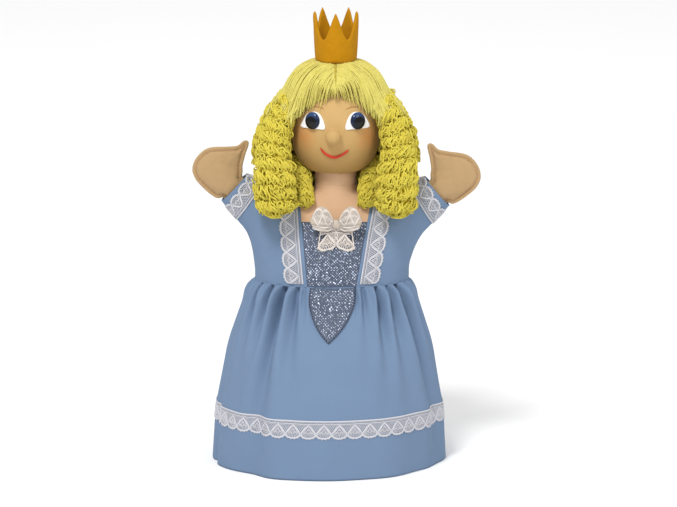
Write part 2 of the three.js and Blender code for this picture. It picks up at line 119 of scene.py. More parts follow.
# The hair is a full dome about this centre, with these half-sizes
HAIR_CENTRE = np.array([0, 1.0, 222.0])
HAIR_RADII = np.array([34.3, 34.3, 37.4])
HAIR_POWER = 2.7


# ---------------- mesh tools
def make(name, points, faces, look):
    """A mesh object from points in millimetres and faces, which are turned to face away from its middle"""
    points = np.asarray(points, float)
    mesh = bpy.data.meshes.new(name)
    mesh.from_pydata((points * MM).tolist(), [], [list(dict.fromkeys(map(int, f))) for f in faces])
    mesh.calc_loop_triangles()
    corners = np.empty(len(mesh.loop_triangles) * 3, int)
    mesh.loop_triangles.foreach_get("vertices", corners)
    a, b, c = (points[corners.reshape(-1, 3)] - points.mean(0)).transpose(1, 0, 2)
    if np.sum(a * np.cross(b, c)) < 0:
        mesh.flip_normals()
    mesh.shade_smooth()
    mesh.materials.append(look.material)
    thing = bpy.data.objects.new(name, mesh)
    bpy.context.scene.collection.objects.link(thing)
    return thing


def thicken(thing, thickness):
    """Gives an open sheet its thickness, inwards"""
    solid = thing.modifiers.new("thickness", "SOLIDIFY")
    solid.thickness = thickness * MM
    solid.offset = -1
    solid.use_rim = True
    bpy.context.view_layer.update()
    graph = bpy.context.evaluated_depsgraph_get()
    thing.data = bpy.data.meshes.new_from_object(thing.evaluated_get(graph))
    thing.modifiers.clear()
    return thing


def enter(thing, nodes=(), body=None):
    """Enters a piece: hides the CAD nodes that it stands for and sets the body it rides on"""
    if nodes:
        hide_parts(*nodes)
    if body:
        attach(thing, body)
    return thing


def grid_faces(columns, rows, ring_u=False, ring_v=False, first=0):
    """Quads of a grid of points stored row by row"""
    i, j = np.meshgrid(np.arange(columns - (not ring_u)), np.arange(rows - (not ring_v)))
    i, j = i.ravel(), j.ravel()
    i2, j2 = (i + 1) % columns, (j + 1) % rows
    return first + np.stack([j * columns + i, j * columns + i2, j2 * columns + i2, j2 * columns + i], 1)


class Pile:
    """Collects many small closed shapes for one mesh"""

    def __init__(self):
        self.points, self.faces, self.count = [], [], 0

    def add(self, points, faces):
        self.points.append(np.asarray(points, float).reshape(-1, 3))
        self.faces.extend(np.asarray(faces) + self.count)
        self.count += len(self.points[-1])

    def make(self, name, look):
        return make(name, np.concatenate(self.points), self.faces, look)


def frames_along(path):
    """Unit tangent and two unit normals at each point of a path, with little twist"""
    path = np.asarray(path, float)
    tangent = np.gradient(path, axis=0)
    tangent /= np.linalg.norm(tangent, axis=1)[:, None] + 1e-12
    normal = np.zeros_like(path)
    start = np.eye(3)[np.argmin(np.abs(tangent[0]))]
    for k, t in enumerate(tangent):
        start = start - t * start.dot(t)
        start = start / np.linalg.norm(start)
        normal[k] = start
    return tangent, normal, np.cross(tangent, normal)


def tube(path, radius, sides=6, lobes=0, lobe_depth=0.0, twist=0.0):
    """Points and faces of a closed tube. lobes and twist (radians per point) make it a laid cord."""
    path = np.asarray(path, float)
    n = len(path)
    radius = np.broadcast_to(radius, n)
    _, a, b = frames_along(path)
    turn = ring_angles(sides)
    angle = turn[None, :] + twist * np.arange(n)[:, None]
    swell = 1 + lobe_depth * (np.abs(np.cos(lobes * turn / 2)) - 0.6)[None, :] if lobes else 1.0
    r = radius[:, None] * swell
    out_a, out_b = (r * np.cos(angle))[..., None], (r * np.sin(angle))[..., None]
    ring = path[:, None] + a[:, None] * out_a + b[:, None] * out_b
    points = np.concatenate([ring.reshape(-1, 3), path[:1], path[-1:]])
    faces = [tuple(f) for f in grid_faces(sides, n, ring_u=True)]
    first, last = n * sides, n * sides + 1
    for i in range(sides):
        j = (i + 1) % sides
        faces.append((first, j, i, i))
        faces.append((last, (n - 1) * sides + i, (n - 1) * sides + j, (n - 1) * sides + j))
    return points, np.array(faces)


def smooth_curve(points, count):
    """A Catmull-Rom curve through a few points"""
    p = np.asarray(points, float)
    p = np.vstack([2 * p[0] - p[1], p, 2 * p[-1] - p[-2]])
    t = np.linspace(0, len(p) - 3 - 1e-9, count)
    k = t.astype(int)
    f = (t - k)[:, None]
    a, b, c, d = p[k], p[k + 1], p[k + 2], p[k + 3]
    return 0.5 * (2 * b + (c - a) * f + (2 * a - 5 * b + 4 * c - d) * f**2 + (3 * b - a - 3 * c + d) * f**3)


def by_length(path, step):
    """The same path with points at equal distances, and its length"""
    path = np.asarray(path, float)
    along = distance_along(path)
    count = max(2, int(round(along[-1] / step)) + 1)
    at = np.linspace(0, along[-1], count)
    return np.stack([np.interp(at, along, path[:, k]) for k in range(path.shape[1])], 1), along[-1]


def ripple(p, wavelength, seed, waves=6):
    """Smooth seeded noise from -1 to 1, as a sum of plane waves"""
    random = np.random.default_rng(seed)
    total = 0.0
    for _ in range(waves):
        d = random.normal(size=3)
        d *= random.uniform(0.7, 1.4) * 2 * np.pi / (wavelength * np.linalg.norm(d))
        total = total + np.sin(p @ d + random.uniform(0, 6.28))
    return total / waves * 1.6


# ---------------- implicit shapes
def section(rows, z):
    """Half-width, half-depth and shift of a level section, eased between the rows"""
    reach = 5.0
    ends = np.vstack([2 * rows[0] - rows[1], rows, 2 * rows[-1] - rows[-2]])
    heights = [z + offset for offset in (-reach, 0, reach)]
    taps = [np.stack([np.interp(h, ends[:, 0], ends[:, k]) for k in (1, 2, 3)]) for h in heights]
    return sum(taps) / len(taps)


def ellipse_distance(x, y, w, d):
    """Distance of points from an ellipse with half-width w and half-depth d, negative inside"""
    k = np.sqrt((x / w) ** 2 + (y / d) ** 2) + 1e-6
    return k * (k - 1) / (np.sqrt((x / w**2) ** 2 + (y / d**2) ** 2) + 1e-6)


def soft_union(a, b, blend):
    """The smaller of two distances, blended where they are close"""
    h = np.clip(0.5 + 0.5 * (b - a) / blend, 0, 1)
    return b * (1 - h) + a * h - blend * h * (1 - h)


def arm_frame(side):
    """Start, axis and across direction of the sleeve"""
    mirror = np.array([side, 1, 1])
    start = ARMHOLE * mirror
    end = (CUFF - [0, 0, DROP[side]]) * mirror
    length = np.linalg.norm(end - start)
    axis = (end - start) / length
    across = np.array([-axis[2] * side, 0, axis[0] * side])
    return start, axis, across, length


def arm_distance(x, y, z, side):
    """Signed distance of a sleeve, which narrows from the armhole to the cuff"""
    start, axis, across, length = arm_frame(side)
    along = (x - start[0]) * axis[0] + (z - start[2]) * axis[2]
    c = (x - start[0]) * across[0] + (z - start[2]) * across[2]
    t = np.clip(along / length, -0.35, 1.3)
    w = ARMHOLE_HALF[0] + (CUFF_HALF[0] - ARMHOLE_HALF[0]) * t
    d = ARMHOLE_HALF[1] + (CUFF_HALF[1] - ARMHOLE_HALF[1]) * t
    return np.maximum(ellipse_distance(c, y, w, d), -along - 14)


def body_distance(x, y, z):
    """Signed distance of the dress and the neck in it"""
    w, d, shift = section(TORSO, z)
    w, d = np.maximum(w, 4), np.maximum(d, 4)
    torso = np.maximum(ellipse_distance(x - shift, y, w, d), z - TORSO_TOP_Z)
    p = np.stack([x, y, z], -1)
    torso = torso - 0.35 * ripple(p, 34, 5) - 0.15 * ripple(p, 13, 6)
    arms = soft_union(arm_distance(x, y, z, -1), arm_distance(x, y, z, 1), 1.0)
    arms = arms - 0.3 * ripple(p, 22, 7)
    neck = np.hypot(x, y) - NECK_RADIUS
    return soft_union(soft_union(torso, arms, SHOULDER_BLEND), neck, NECK_BLEND)


def head_distance(x, y, z):
    """Signed distance of the head with its nose"""
    up = z > HEAD_Z
    height = np.where(up, HEAD_UP, HEAD_DOWN)
    power = np.where(up, *HEAD_POWER)
    k = ((np.hypot(x, y) / HEAD_RADIUS) ** power + (np.abs(z - HEAD_Z) / height) ** power) ** (1 / power)
    skull = (k - 1) * HEAD_RADIUS * 1.02
    skull = -soft_union(-skull, z - CHIN_Z, 3)
    nose = np.sqrt((x - NOSE[0]) ** 2 + (y - NOSE[1]) ** 2 + (z - NOSE[2]) ** 2) - NOSE_RADIUS
    return soft_union(skull, nose, 1.8)


def grid_edges(f, axis, inner=False, shift=(0, 0)):
    """The values at both ends of the grid's edges along one axis, shifted along the other two"""
    n = np.array(f.shape) - 1
    here = [slice(1, n[k]) if inner else slice(None) for k in range(3)]
    if not inner:
        for k, d in zip([k for k in range(3) if k != axis], shift):
            here[k] = slice(d, n[k] + d)
    there = list(here)
    here[axis], there[axis] = slice(0, n[axis]), slice(1, n[axis] + 1)
    return f[tuple(here)], f[tuple(there)]


def net_points(f):
    """Which cells the surface crosses, and the mean of its crossings in each, in cells"""
    n = np.array(f.shape) - 1
    total, count = np.zeros((*n, 3)), np.zeros(n)
    for axis in range(3):
        u, v = [k for k in range(3) if k != axis]
        for du, dv in ((0, 0), (0, 1), (1, 0), (1, 1)):
            f0, f1 = grid_edges(f, axis, shift=(du, dv))
            hit = (f0 < 0) != (f1 < 0)
            total[..., axis] += np.where(hit, f0 / np.where(hit, f0 - f1, 1), 0)
            total[..., u] += hit * du
            total[..., v] += hit * dv
            count += hit
    used = count > 0
    return used, np.argwhere(used) + total[used] / count[used][:, None]


def net_quads(f, index):
    """A quad across each edge of the grid that the surface crosses"""
    quads = []
    for axis in range(3):
        u, v = (axis + 1) % 3, (axis + 2) % 3
        f0, f1 = grid_edges(f, axis, inner=True)
        for crossed, corners in (((f0 < 0) & (f1 >= 0), ((1, 1), (0, 1), (0, 0), (1, 0))),
                                 ((f0 >= 0) & (f1 < 0), ((1, 0), (0, 0), (0, 1), (1, 1)))):
            at = np.argwhere(crossed)
            at[:, [u, v]] += 1
            cells = [at.copy() for _ in corners]
            for cell, shift in zip(cells, corners):
                cell[:, [u, v]] -= shift
            quads.append(np.stack([index[tuple(cell.T)] for cell in cells], 1))
    return np.concatenate(quads)


def surface_net(distance, low, high, step):
    """Points and quads of the surface where distance is 0"""
    axes = [np.arange(a, b + step, step) for a, b in zip(low, high)]
    f = distance(*np.meshgrid(*axes, indexing="ij"))
    used, cells = net_points(f)
    index = np.full(used.shape, -1)
    index[used] = np.arange(used.sum())
    return pull_to_surface(distance, np.array(low) + step * cells), net_quads(f, index)


def gradient(distance, p, h=0.05):
    """How a distance changes along each axis"""
    return np.stack([distance(*(p + h * e).T) - distance(*(p - h * e).T) for e in np.eye(3)], 1) / (2 * h)


def pull_to_surface(distance, p, times=2):
    """Points near a surface, moved onto it"""
    for _ in range(times):
        g = gradient(distance, p)
        f = distance(*p.T)
        move = f[:, None] * g / (np.sum(g * g, 1)[:, None] + 1e-9)
        p = p - np.clip(move, -0.8, 0.8)
    return p


def march(distance, start, direction):
    """Where the line from each start (inside) along direction leaves the shape, with the outward normal"""
    reach, halvings = 45.0, 22
    start, direction = np.broadcast_arrays(np.asarray(start, float), np.asarray(direction, float))
    low, high = np.zeros(len(start)), np.full(len(start), reach)
    for _ in range(halvings):
        middle = (low + high) / 2
        inside = distance(*(start + middle[:, None] * direction).T) < 0
        low, high = np.where(inside, middle, low), np.where(inside, high, middle)
    p = start + low[:, None] * direction
    return p, unit(gradient(distance, p, 0.2))


def on_front(distance, x, z, lift=0.0, start_y=0.0):
    """Points on the front of a shape at x and z, lifted off it, and the normals there"""
    x, z, lift = (np.ravel(a) for a in np.broadcast_arrays(x, z, lift))
    p, normal = march(distance, np.stack([x, 0 * x + start_y, z], 1), [[0, -1, 0]])
    return p + normal * lift[:, None], normal


def cut(points, faces, planes):
    """The mesh on the side of each plane that its normal points away from. A plane is (point, normal)."""
    work = bmesh.new()
    corners = [work.verts.new(p) for p in points]
    for f in faces:
        work.faces.new([corners[i] for i in f])
    for point, normal in planes:
        geometry = work.verts[:] + work.edges[:] + work.faces[:]
        bmesh.ops.bisect_plane(work, geom=geometry, dist=0.01, plane_co=point, plane_no=normal,
                               clear_outer=True)
    bmesh.ops.remove_doubles(work, verts=work.verts[:], dist=0.02)
    work.verts.index_update()
    kept = np.array([v.co[:] for v in work.verts])
    shapes = [[v.index for v in f.verts] for f in work.faces]
    work.free()
    return kept, shapes


# ---------------- materials
class Look:
    """A material and the nodes that shade it. Sizes are in millimetres."""

    def __init__(self, name, color, roughness, metallic=0.0, sheen=0.0, specular=0.2):
        self.material = bpy.data.materials.new(name)
        self.material.use_nodes = True
        self.nodes, self.links = self.material.node_tree.nodes, self.material.node_tree.links
        self.shader = self.nodes["Principled BSDF"]
        values = {"Base Color": (*color, 1), "Roughness": roughness, "Metallic": metallic,
                  "Sheen Weight": sheen, "Sheen Roughness": 0.5, "Sheen Tint": (*color, 1),
                  "Specular IOR Level": specular}
        for socket, value in values.items():
            self.shader.inputs[socket].default_value = value
        self.place = self.nodes.new("ShaderNodeTexCoord").outputs["Object"]

    def feed(self, socket, value):
        """Gives a socket a number, a colour or another node's output"""
        if isinstance(value, (int, float)):
            socket.default_value = value
        elif isinstance(value, tuple):
            socket.default_value = (*value, 1)
        else:
            self.links.new(value, socket)

    def node(self, kind, inputs):
        """A new node, with values for some of its inputs"""
        node = self.nodes.new("ShaderNode" + kind)
        for socket, value in inputs.items():
            self.feed(node.inputs[socket], value)
        return node

    def colored(self, value):
        """Sets the base colour"""
        self.feed(self.shader.inputs["Base Color"], value)
        return self

    def noise(self, size, detail=3.0, distortion=0.0):
        """A noise with features of that size"""
        node = self.node("TexNoise", {"Scale": 1 / (size * MM), "Detail": detail, "Distortion": distortion,
                                      "Vector": self.place})
        return node.outputs["Fac"]

    def threads(self, direction, pitch):
        """Slightly wavy bands across one axis, a pitch apart"""
        node = self.node("TexWave", {"Scale": math.pi / 10 / (pitch * MM), "Distortion": 0.6, "Detail": 2,
                                     "Detail Scale": 2, "Vector": self.place})
        node.bands_direction = direction
        return node.outputs["Fac"]

    def math(self, operation, a, b, clamp=False):
        """The sum or product of two values"""
        node = self.node("Math", {0: a, 1: b})
        node.operation, node.use_clamp = operation, clamp
        return node.outputs[0]

    def add(self, a, b, clamp=False):
        return self.math("ADD", a, b, clamp)

    def times(self, a, b):
        return self.math("MULTIPLY", a, b)

    def mix(self, share, first, second):
        """A mix of two colours"""
        node = self.node("Mix", {})
        node.data_type = "RGBA"
        for socket, value in ((0, share), (6, first), (7, second)):
            self.feed(node.inputs[socket], value)
        return node.outputs[2]

    def ramp(self, value, low, high):
        """value brought from low..high to 0..1"""
        return self.node("MapRange", {"From Min": low, "From Max": high, "Value": value}).outputs["Result"]

    def bump(self, height, depth, strength):
        """Relief, this deep in millimetres where height is 1"""
        node = self.node("Bump", {"Strength": strength, "Distance": depth * MM, "Height": height})
        self.links.new(node.outputs["Normal"], self.shader.inputs["Normal"])

    def distance_to(self, point):
        """Distance from a point"""
        node = self.node("VectorMath", {0: self.place})
        node.operation = "DISTANCE"
        node.inputs[1].default_value = tuple(np.array(point) * MM)
        return self.times(node.outputs["Value"], 1 / MM)


def shade(color, share):
    """A colour made darker or brighter"""
    return tuple(c * share for c in color)


def woven(name, color, pitch=0.55, patch=14.0, contrast=0.12, sheen=0.15, roughness=0.85):
    """Plain woven or knitted cloth: crossing threads, fine slubs and slow patches of shade"""
    look = Look(name, color, roughness, sheen=sheen)
    crossing, along = look.threads("X", pitch), look.threads("Z", pitch)
    weave = look.times(look.add(crossing, along), 0.5)
    slub = look.noise(0.9, 4)
    slow = look.noise(patch, 2)
    threads = look.add(look.times(weave, 0.55), look.times(slub, 0.45))
    dark, pale = shade(color, 1 - contrast), shade(color, 1 + contrast * 0.6)
    tone = look.mix(look.ramp(threads, 0.25, 0.75), dark, pale)
    patches = look.times(look.ramp(slow, 0.35, 0.65), 0.45)
    look.colored(look.mix(patches, tone, shade(color, 1.04)))
    look.bump(threads, 0.12, 0.5)
    return look


def felted(name, color, fibre=0.5, contrast=0.18, depth=0.18, sheen=0.35):
    """Felt: short tangled fibres and soft mottling"""
    look = Look(name, color, 0.95, sheen=sheen)
    fibres = look.noise(fibre, 6, 1.4)
    mottle = look.noise(5.0, 3)
    both = look.add(look.times(fibres, 0.7), look.times(mottle, 0.3))
    dark, pale = shade(color, 1 - contrast), shade(color, 1 + contrast * 0.5)
    look.colored(look.mix(look.ramp(both, 0.3, 0.7), dark, pale))
    look.bump(fibres, depth, 0.7)
    return look


def yarn_look(name, color, dark):
    """Spun yarn: fine fibres, with random patches mixed towards the dark colour as painted shade between
    the strands
    """
    look = Look(name, color, 0.9, sheen=0.3)
    fibres = look.noise(0.45, 5, 0.8)
    tufts = look.noise(2.6, 3)
    tone = look.mix(look.ramp(fibres, 0.3, 0.7), shade(color, 0.84), shade(color, 1.08))
    # Painted shade: tufts of noise mixed towards the dark colour, for the shadow between the strands
    look.colored(look.mix(look.times(look.ramp(tufts, 0.52, 0.72), 0.35), tone, dark))
    look.bump(fibres, 0.15, 0.6)
    return look


def face_look():
    """Skin-coloured jersey with rouge rubbed on the cheeks, and painted shade that darkens it towards the
    chin
    """
    look = woven("head_jersey", SKIN, pitch=0.5, patch=9.0, contrast=0.07, sheen=0.2, roughness=0.8)
    cloth = look.shader.inputs["Base Color"].links[0].from_socket
    rouge = 0.0
    for side in (-1, 1):
        cheek = march(head_distance, [[0, 0, 212.2]], [[side * 0.76, -0.65, 0]])[0][0]
        rouge = look.add(rouge, look.ramp(look.distance_to(cheek), 13.0, 2.0), True)
    share = look.times(rouge, look.add(look.noise(3.0, 3), 0.12))
    rosy = look.mix(share, cloth, ROUGE)
    # Painted shade: the face is painted darker towards the chin, with distance from this point above the
    # brow
    brow = (0, -8, 250)
    return look.colored(look.mix(look.ramp(look.distance_to(brow), 36.0, 64.0), rosy, CHIN_PAINTED_SHADE))


def pupil_look(name, centre, up):
    """A glossy eye button: a black middle set low in a blue ring that is lighter at the top"""
    look = Look(name, (0.01, 0.012, 0.02), 0.07, specular=0.3)
    black = look.ramp(look.distance_to(centre - 0.8 * up), 4.5, 3.9)
    high = look.ramp(look.distance_to(centre + 5.6 * up), 6.5, 0.5)
    blue = look.mix(high, (0.004, 0.010, 0.035), (0.03, 0.07, 0.19))
    return look.colored(look.mix(black, blue, (0.001, 0.001, 0.0015)))


def glitter_look(name, color):
    """Metal flakes with painted glints: at random some are painted dim and some bright"""
    look = Look(name, color, 0.3, metallic=0.9)
    # Painted glints: random patches of flakes painted brighter or dimmer
    painted_glint = look.ramp(look.noise(1.5, 2), 0.44, 0.60)
    look.colored(look.mix(painted_glint, shade(color, 0.34), shade(color, 1.7)))
    look.bump(look.noise(0.8, 2), 0.25, 0.8)
    return look


# Colours are linear
SKIN = (0.52, 0.335, 0.135)
NECK_SKIN = (0.60, 0.385, 0.235)
ROUGE = (0.60, 0.21, 0.06)
# Painted shade of the lower face, darkest at the chin
CHIN_PAINTED_SHADE = (0.36, 0.215, 0.070)
BLUE = (0.150, 0.220, 0.335)
YELLOW = (0.66, 0.56, 0.075)
# Painted shade of the yellow yarn, between its strands
YELLOW_PAINTED_SHADE = (0.40, 0.30, 0.012)
cotton = woven("blue_cotton", BLUE, pitch=0.5, patch=16.0, contrast=0.08, sheen=0.12)
# The inside of the hem fold: the blue cotton painted darker, as shade
cotton_inside_painted_shade = woven("blue_cotton_inside", shade(BLUE, 0.82), pitch=0.5, patch=16.0, contrast=0.08,
                      sheen=0.1)
jersey = woven("neck_jersey", NECK_SKIN, pitch=0.45, patch=12.0, contrast=0.06, sheen=0.2, roughness=0.8)
face_jersey = face_look()
hand_felt = felted("hand_felt", (0.43, 0.285, 0.145), contrast=0.12)
crown_felt = felted("crown_felt", (0.46, 0.205, 0.002), fibre=0.55, contrast=0.2, sheen=0.05)
lace_cotton = woven("lace_cotton", (0.55, 0.55, 0.59), pitch=0.35, patch=6.0, contrast=0.1, sheen=0.1)
bow_cotton = woven("bow_cotton", (0.50, 0.43, 0.36), pitch=0.4, patch=5.0, sheen=0.1)
bow_lace = woven("bow_lace", (0.68, 0.62, 0.57), pitch=0.35, patch=5.0, contrast=0.1, sheen=0.1)
# The second colour of each yarn look is its painted shade
yarn = yarn_look("yellow_yarn", YELLOW, YELLOW_PAINTED_SHADE)
cap_yarn = yarn_look("cap_yarn", (0.66, 0.585, 0.15), (0.50, 0.42, 0.06))
# A darker yarn: painted shade on the ringlets' cores, which show only between the strands; the parting
# stitches are sewn with it too
yarn_shadow = yarn_look("yarn_core", shade(YELLOW_PAINTED_SHADE, 1.5), shade(YELLOW_PAINTED_SHADE, 1.1))
lurex = woven("lurex_ground", (0.085, 0.107, 0.160), pitch=0.6, patch=6.0, contrast=0.3, sheen=0.1,
              roughness=0.5)
sparkle = glitter_look("lurex_dots", (0.44, 0.48, 0.56))
eye_felt = felted("eye_felt", (0.88, 0.88, 0.90), fibre=0.4, contrast=0.05, depth=0.05, sheen=0.05)
red_thread = woven("red_thread", (0.55, 0.045, 0.025), pitch=0.4, patch=2.0, contrast=0.25, sheen=0.2,
                   roughness=0.6)
brow_thread = felted("brow_thread", (0.44, 0.19, 0.07), fibre=0.4, contrast=0.2, depth=0.05)
peach_thread = woven("peach_thread", (0.52, 0.28, 0.15), pitch=0.3, patch=2.0, contrast=0.2, sheen=0.2,
                     roughness=0.7)
dark_thread = woven("dark_thread", (0.05, 0.05, 0.07), pitch=0.3, patch=2.0, contrast=0.2, sheen=0.1,
                    roughness=0.7)


# ---------------- sewing
def stitches(name, path, look, body, stitch=2.2, gap=0.9, radius=0.2):
    """A row of short stitches along a path in millimetres"""
    fine, length = by_length(path, 0.2)
    pile = Pile()
    start = 0.0
    while start + stitch < length:
        t = np.linspace(start, start + stitch, 7) / 0.2
        k = np.clip(t, 0, len(fine) - 1.001)
        i = k.astype(int)
        p = fine[i] + (fine[i + 1] - fine[i]) * (k - i)[:, None]
        pile.add(*tube(p, radius * np.array([0.5, 0.9, 1, 1, 1, 0.9, 0.5]), sides=5))
        start += stitch + gap
    row = pile.make(name, look)
    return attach(row, body) if body else row


def clip_to_triangle(point, direction, corners):
    """The stretch of a line inside a triangle, as two points, or None"""
    low, high = -50.0, 50.0
    for k in range(3):
        a, b = corners[k], corners[(k + 1) % 3]
        normal = np.array([a[1] - b[1], b[0] - a[0]])
        if normal @ (corners[(k + 2) % 3] - a) < 0:
            normal = -normal
        slope, offset = normal @ direction, normal @ (point - a)
        if abs(slope) < 1e-9:
            if offset < 0:
                return None
        elif slope > 0:
            low = max(low, -offset / slope)
        else:
            high = min(high, -offset / slope)
    return (point + low * direction, point + high * direction) if high - low > 0.6 else None


def net_threads(corners, spacing=1.0, radius=0.17):
    """Two slanting sets of threads that fill a triangle"""
    corners = np.array(corners, float)
    centre = corners.mean(0)
    found = []
    for angle in (58, 122):
        d = np.array([math.cos(math.radians(angle)), math.sin(math.radians(angle))])
        across = np.array([-d[1], d[0]])
        for k in range(-6, 7):
            line = clip_to_triangle(centre + k * spacing * across, d, corners)
            if line:
                found.append((np.array(line), radius))
    return found


def lace_motif(p):
    """Threads of one repeat, p wide, as (points of [along, down], half-width), round its scallop"""
    h, w = p / 2, LACE_WIDTH
    found = [(np.array([[0, 8.5], [h * 0.5, 5.5], [h, 2.9], [h * 1.5, 5.5], [p, 8.5]]), 0.62)]

    def scallop(angle, share):
        """A point between the middle of the scallop and its edge"""
        inner = np.array([h - 2.1 * math.cos(angle), 7.0 + 2.0 * math.sin(angle)])
        outer = np.array([h - (h - 0.35) * math.cos(angle), 8.4 + (w - 8.9) * math.sin(angle) ** 0.8])
        return inner + (outer - inner) * share
    found.append((np.array([[h, 5.2], [h + 1.7, 7.1], [h, 9.0], [h - 1.7, 7.1], [h, 5.2]]), 0.30))
    for du, dv in ((0, -0.7), (0.62, 0), (0, 0.7), (-0.62, 0)):
        found.append((np.array([[h + du - 0.12, 7.1 + dv], [h + du + 0.12, 7.1 + dv]]), 0.24))
    edge = np.array([scallop(a, 1) for a in np.linspace(0, math.pi, 13)])
    found.append((edge, 0.62))
    for a in np.linspace(0.18, math.pi - 0.18, 9):
        found.append((np.array([scallop(a, 0), scallop(a, 1)]), 0.27))
    for a in (np.arange(6) + 0.5) * math.pi / 6:
        u, v = scallop(a, 1.0)
        loop = [[u - 0.65, v + 0.1], [u - 0.3, v + 0.95], [u + 0.3, v + 0.95], [u + 0.65, v + 0.1]]
        found.append((smooth_curve(loop, 7), 0.17))
    found += net_threads([[-h, 2.4], [h, 2.4], [0, 8.4]])
    found += net_threads([[h, 3.2], [p - 0.5, 8.2], [0.5, 8.2]])
    return found


def lace_threads(length):
    """Threads of a strip, as (points of [along, down], half-width): its repeats, then its straight edge"""
    count = max(1, int(round(length / LACE_PITCH)))
    pitch = length / count
    found = [(line + [k * pitch, 0], half) for k in range(count) for line, half in lace_motif(pitch)]
    u = np.arange(0, length + 1e-6, pitch / 8)
    found.append((np.stack([u, np.full_like(u, 0.5)], 1), 0.5))
    found.append((np.stack([u, np.full_like(u, 2.2)], 1), 0.32))
    u = np.arange(0, length + 1e-6, pitch / 12)
    found.append((np.stack([u, 1.35 + 0.5 * (-1.0) ** np.arange(len(u))], 1), 0.2))
    return found


def lace(name, length, place, look, closed=False):
    """A strip of lace. place(u, v, lift) maps along, down and out (millimetres) to points in the frame."""
    sides, thickest, faces, points, count = 6, 0.28, [], [], 0
    angle = ring_angles(sides)
    for line, half in lace_threads(length):
        line, _ = by_length(line, 1.1)
        if not closed:
            line[:, 0] = np.clip(line[:, 0], 0.1, length - 0.1)
        tangent = np.gradient(line, axis=0)
        tangent /= np.linalg.norm(tangent, axis=1)[:, None] + 1e-9
        across = np.stack([-tangent[:, 1], tangent[:, 0]], 1)
        uv = line[:, None] + across[:, None] * (half * np.cos(angle))[None, :, None]
        lift = 0.3 + min(thickest, half) * np.sin(angle)[None, :] * np.ones((len(line), 1))
        points.append(np.concatenate([uv, lift[..., None]], -1).reshape(-1, 3))
        faces.extend(grid_faces(sides, len(line), ring_u=True, first=count).tolist())
        last = count + (len(line) - 1) * sides
        faces.append([count + i for i in reversed(range(sides))])
        faces.append([last + i for i in range(sides)])
        count += len(line) * sides
    flat = np.concatenate(points)
    return make(name, place(flat[:, 0], flat[:, 1], flat[:, 2]), faces, look)


# ---------------- skirt
SKIRT_COLUMNS, SKIRT_ROWS = 400, 96
SKIRT_FOOT_Z = 0.35
CLOTH = 0.9  # thickness of the sewn cloth
FOLD_STRENGTH = 1.9
gather_random = np.random.default_rng(11)


def long_folds():
    """Folds that run down from the waist: (angle at the waist, angle lower down, depth, width, length)"""
    rows = [  # x at the waist, x lower down, depth, width, length, and 1 in front or -1 at the back
        [-46.5, -60, 2.6, 1.7, 34, 1], [-39.7, -54, 3.6, 1.8, 36, 1], [-32.1, -47, 5.4, 2.1, 78, 1],
        [-24, -29, 3.6, 1.7, 36, 1], [-19.6, -22, 2.4, 1.4, 22, 1], [17.3, 20, 2.8, 1.5, 26, 1],
        [25.6, 33, 3.8, 1.7, 38, 1], [32.5, 44, 3.2, 1.7, 40, 1], [37.6, 59, 5.2, 2.0, 78, 1],
        [43.6, 62, 2.8, 1.6, 34, 1],
        [-40, -56, 4.6, 2.0, 60, -1], [-27, -38, 3.4, 1.8, 40, -1], [-12, -15, 4.2, 2.0, 66, -1],
        [2, 3, 2.8, 1.7, 34, -1], [14, 18, 4.4, 2.0, 58, -1], [26, 36, 3.2, 1.8, 42, -1],
        [38, 55, 4.6, 2.0, 62, -1],
    ]
    found = []
    for top, low, depth, width, length, front in rows:
        a = [front * math.acos(np.clip(x / w, -0.98, 0.98)) for x, w in ((top + 2.6, 49), (low + 4.2, 67))]
        found.append((a[0], a[1], depth, width, length))
    return found


def small_gathers():
    """Short folds all round the waist, shallow where the glitter point lies"""
    count = 64
    angles = ring_angles(count) + gather_random.uniform(-0.03, 0.03, count)
    depth = gather_random.uniform(0.6, 1.9, count) * np.where(np.abs(angles - 1.6) < 0.3, 0.3, 1)
    length = gather_random.uniform(7, 26, count)
    return [(a, a, d, 0.9, n) for a, d, n in zip(angles, depth, length)]


FOLDS = long_folds() + small_gathers()


def turned(angle, centre):
    """The turn from one angle to another, from minus half a circle to half a circle"""
    return (angle - centre + np.pi) % (2 * np.pi) - np.pi


def skirt_depth(angle, z):
    """How far the cloth is pushed in (negative) or out at an angle (0 is +X, a right angle the front)"""
    down = WAIST_Z - z
    w, d, _ = section(SKIRT, z)
    local = np.hypot(w * np.sin(angle), d * np.cos(angle))
    total = 0.0
    for top, low, depth, width, length in FOLDS:
        centre = top + (low - top) * np.clip(down / 80, 0, 1)
        spread = width + 0.065 * down
        s = turned(angle, centre) * local / spread
        fade = np.exp(-((down / length) ** 1.4)) * np.clip(0.25 + down / 5, 0, 1)
        groove, shoulders = np.exp(-s * s), np.exp(-((np.abs(s) - 1.7) ** 2))
        total = total - FOLD_STRENGTH * depth * fade * (groove - 0.35 * shoulders)
    low_down = np.clip(1 - z / 90, 0, 1) ** 1.3
    sway = 0.7 * np.cos(3 * angle + 0.6) + 0.8 * np.cos(7 * angle - 1.0) + 0.5 * np.cos(11 * angle + 2.0)
    side_crease = -3.4 * np.exp(-((turned(angle, 2.9) / 0.06) ** 2))
    puff = 1.3 * np.exp(-((down - 7) / 6) ** 2) - np.clip(1 - down / 1.5, 0, 1)
    return total + low_down * (sway + side_crease) + puff


def on_skirt(angle, z, grow):
    """Points on the skirt at an angle and a height, grown outwards"""
    angle, z, grow = np.broadcast_arrays(angle, z, grow)
    w, d, shift = section(SKIRT, z)
    out = grow + skirt_depth(angle, z)
    nx, ny = d * np.cos(angle), w * np.sin(angle)
    size = np.hypot(nx, ny)
    return np.stack([shift + w * np.cos(angle) + out * nx / size,
                     -(d * np.sin(angle) + out * ny / size), z + 0 * out], -1)


def skirt_sheet(columns, heights, grow):
    """A grid of points round the skirt"""
    angle, height = np.meshgrid(ring_angles(columns), heights)
    return on_skirt(angle, height, grow).reshape(-1, 3)


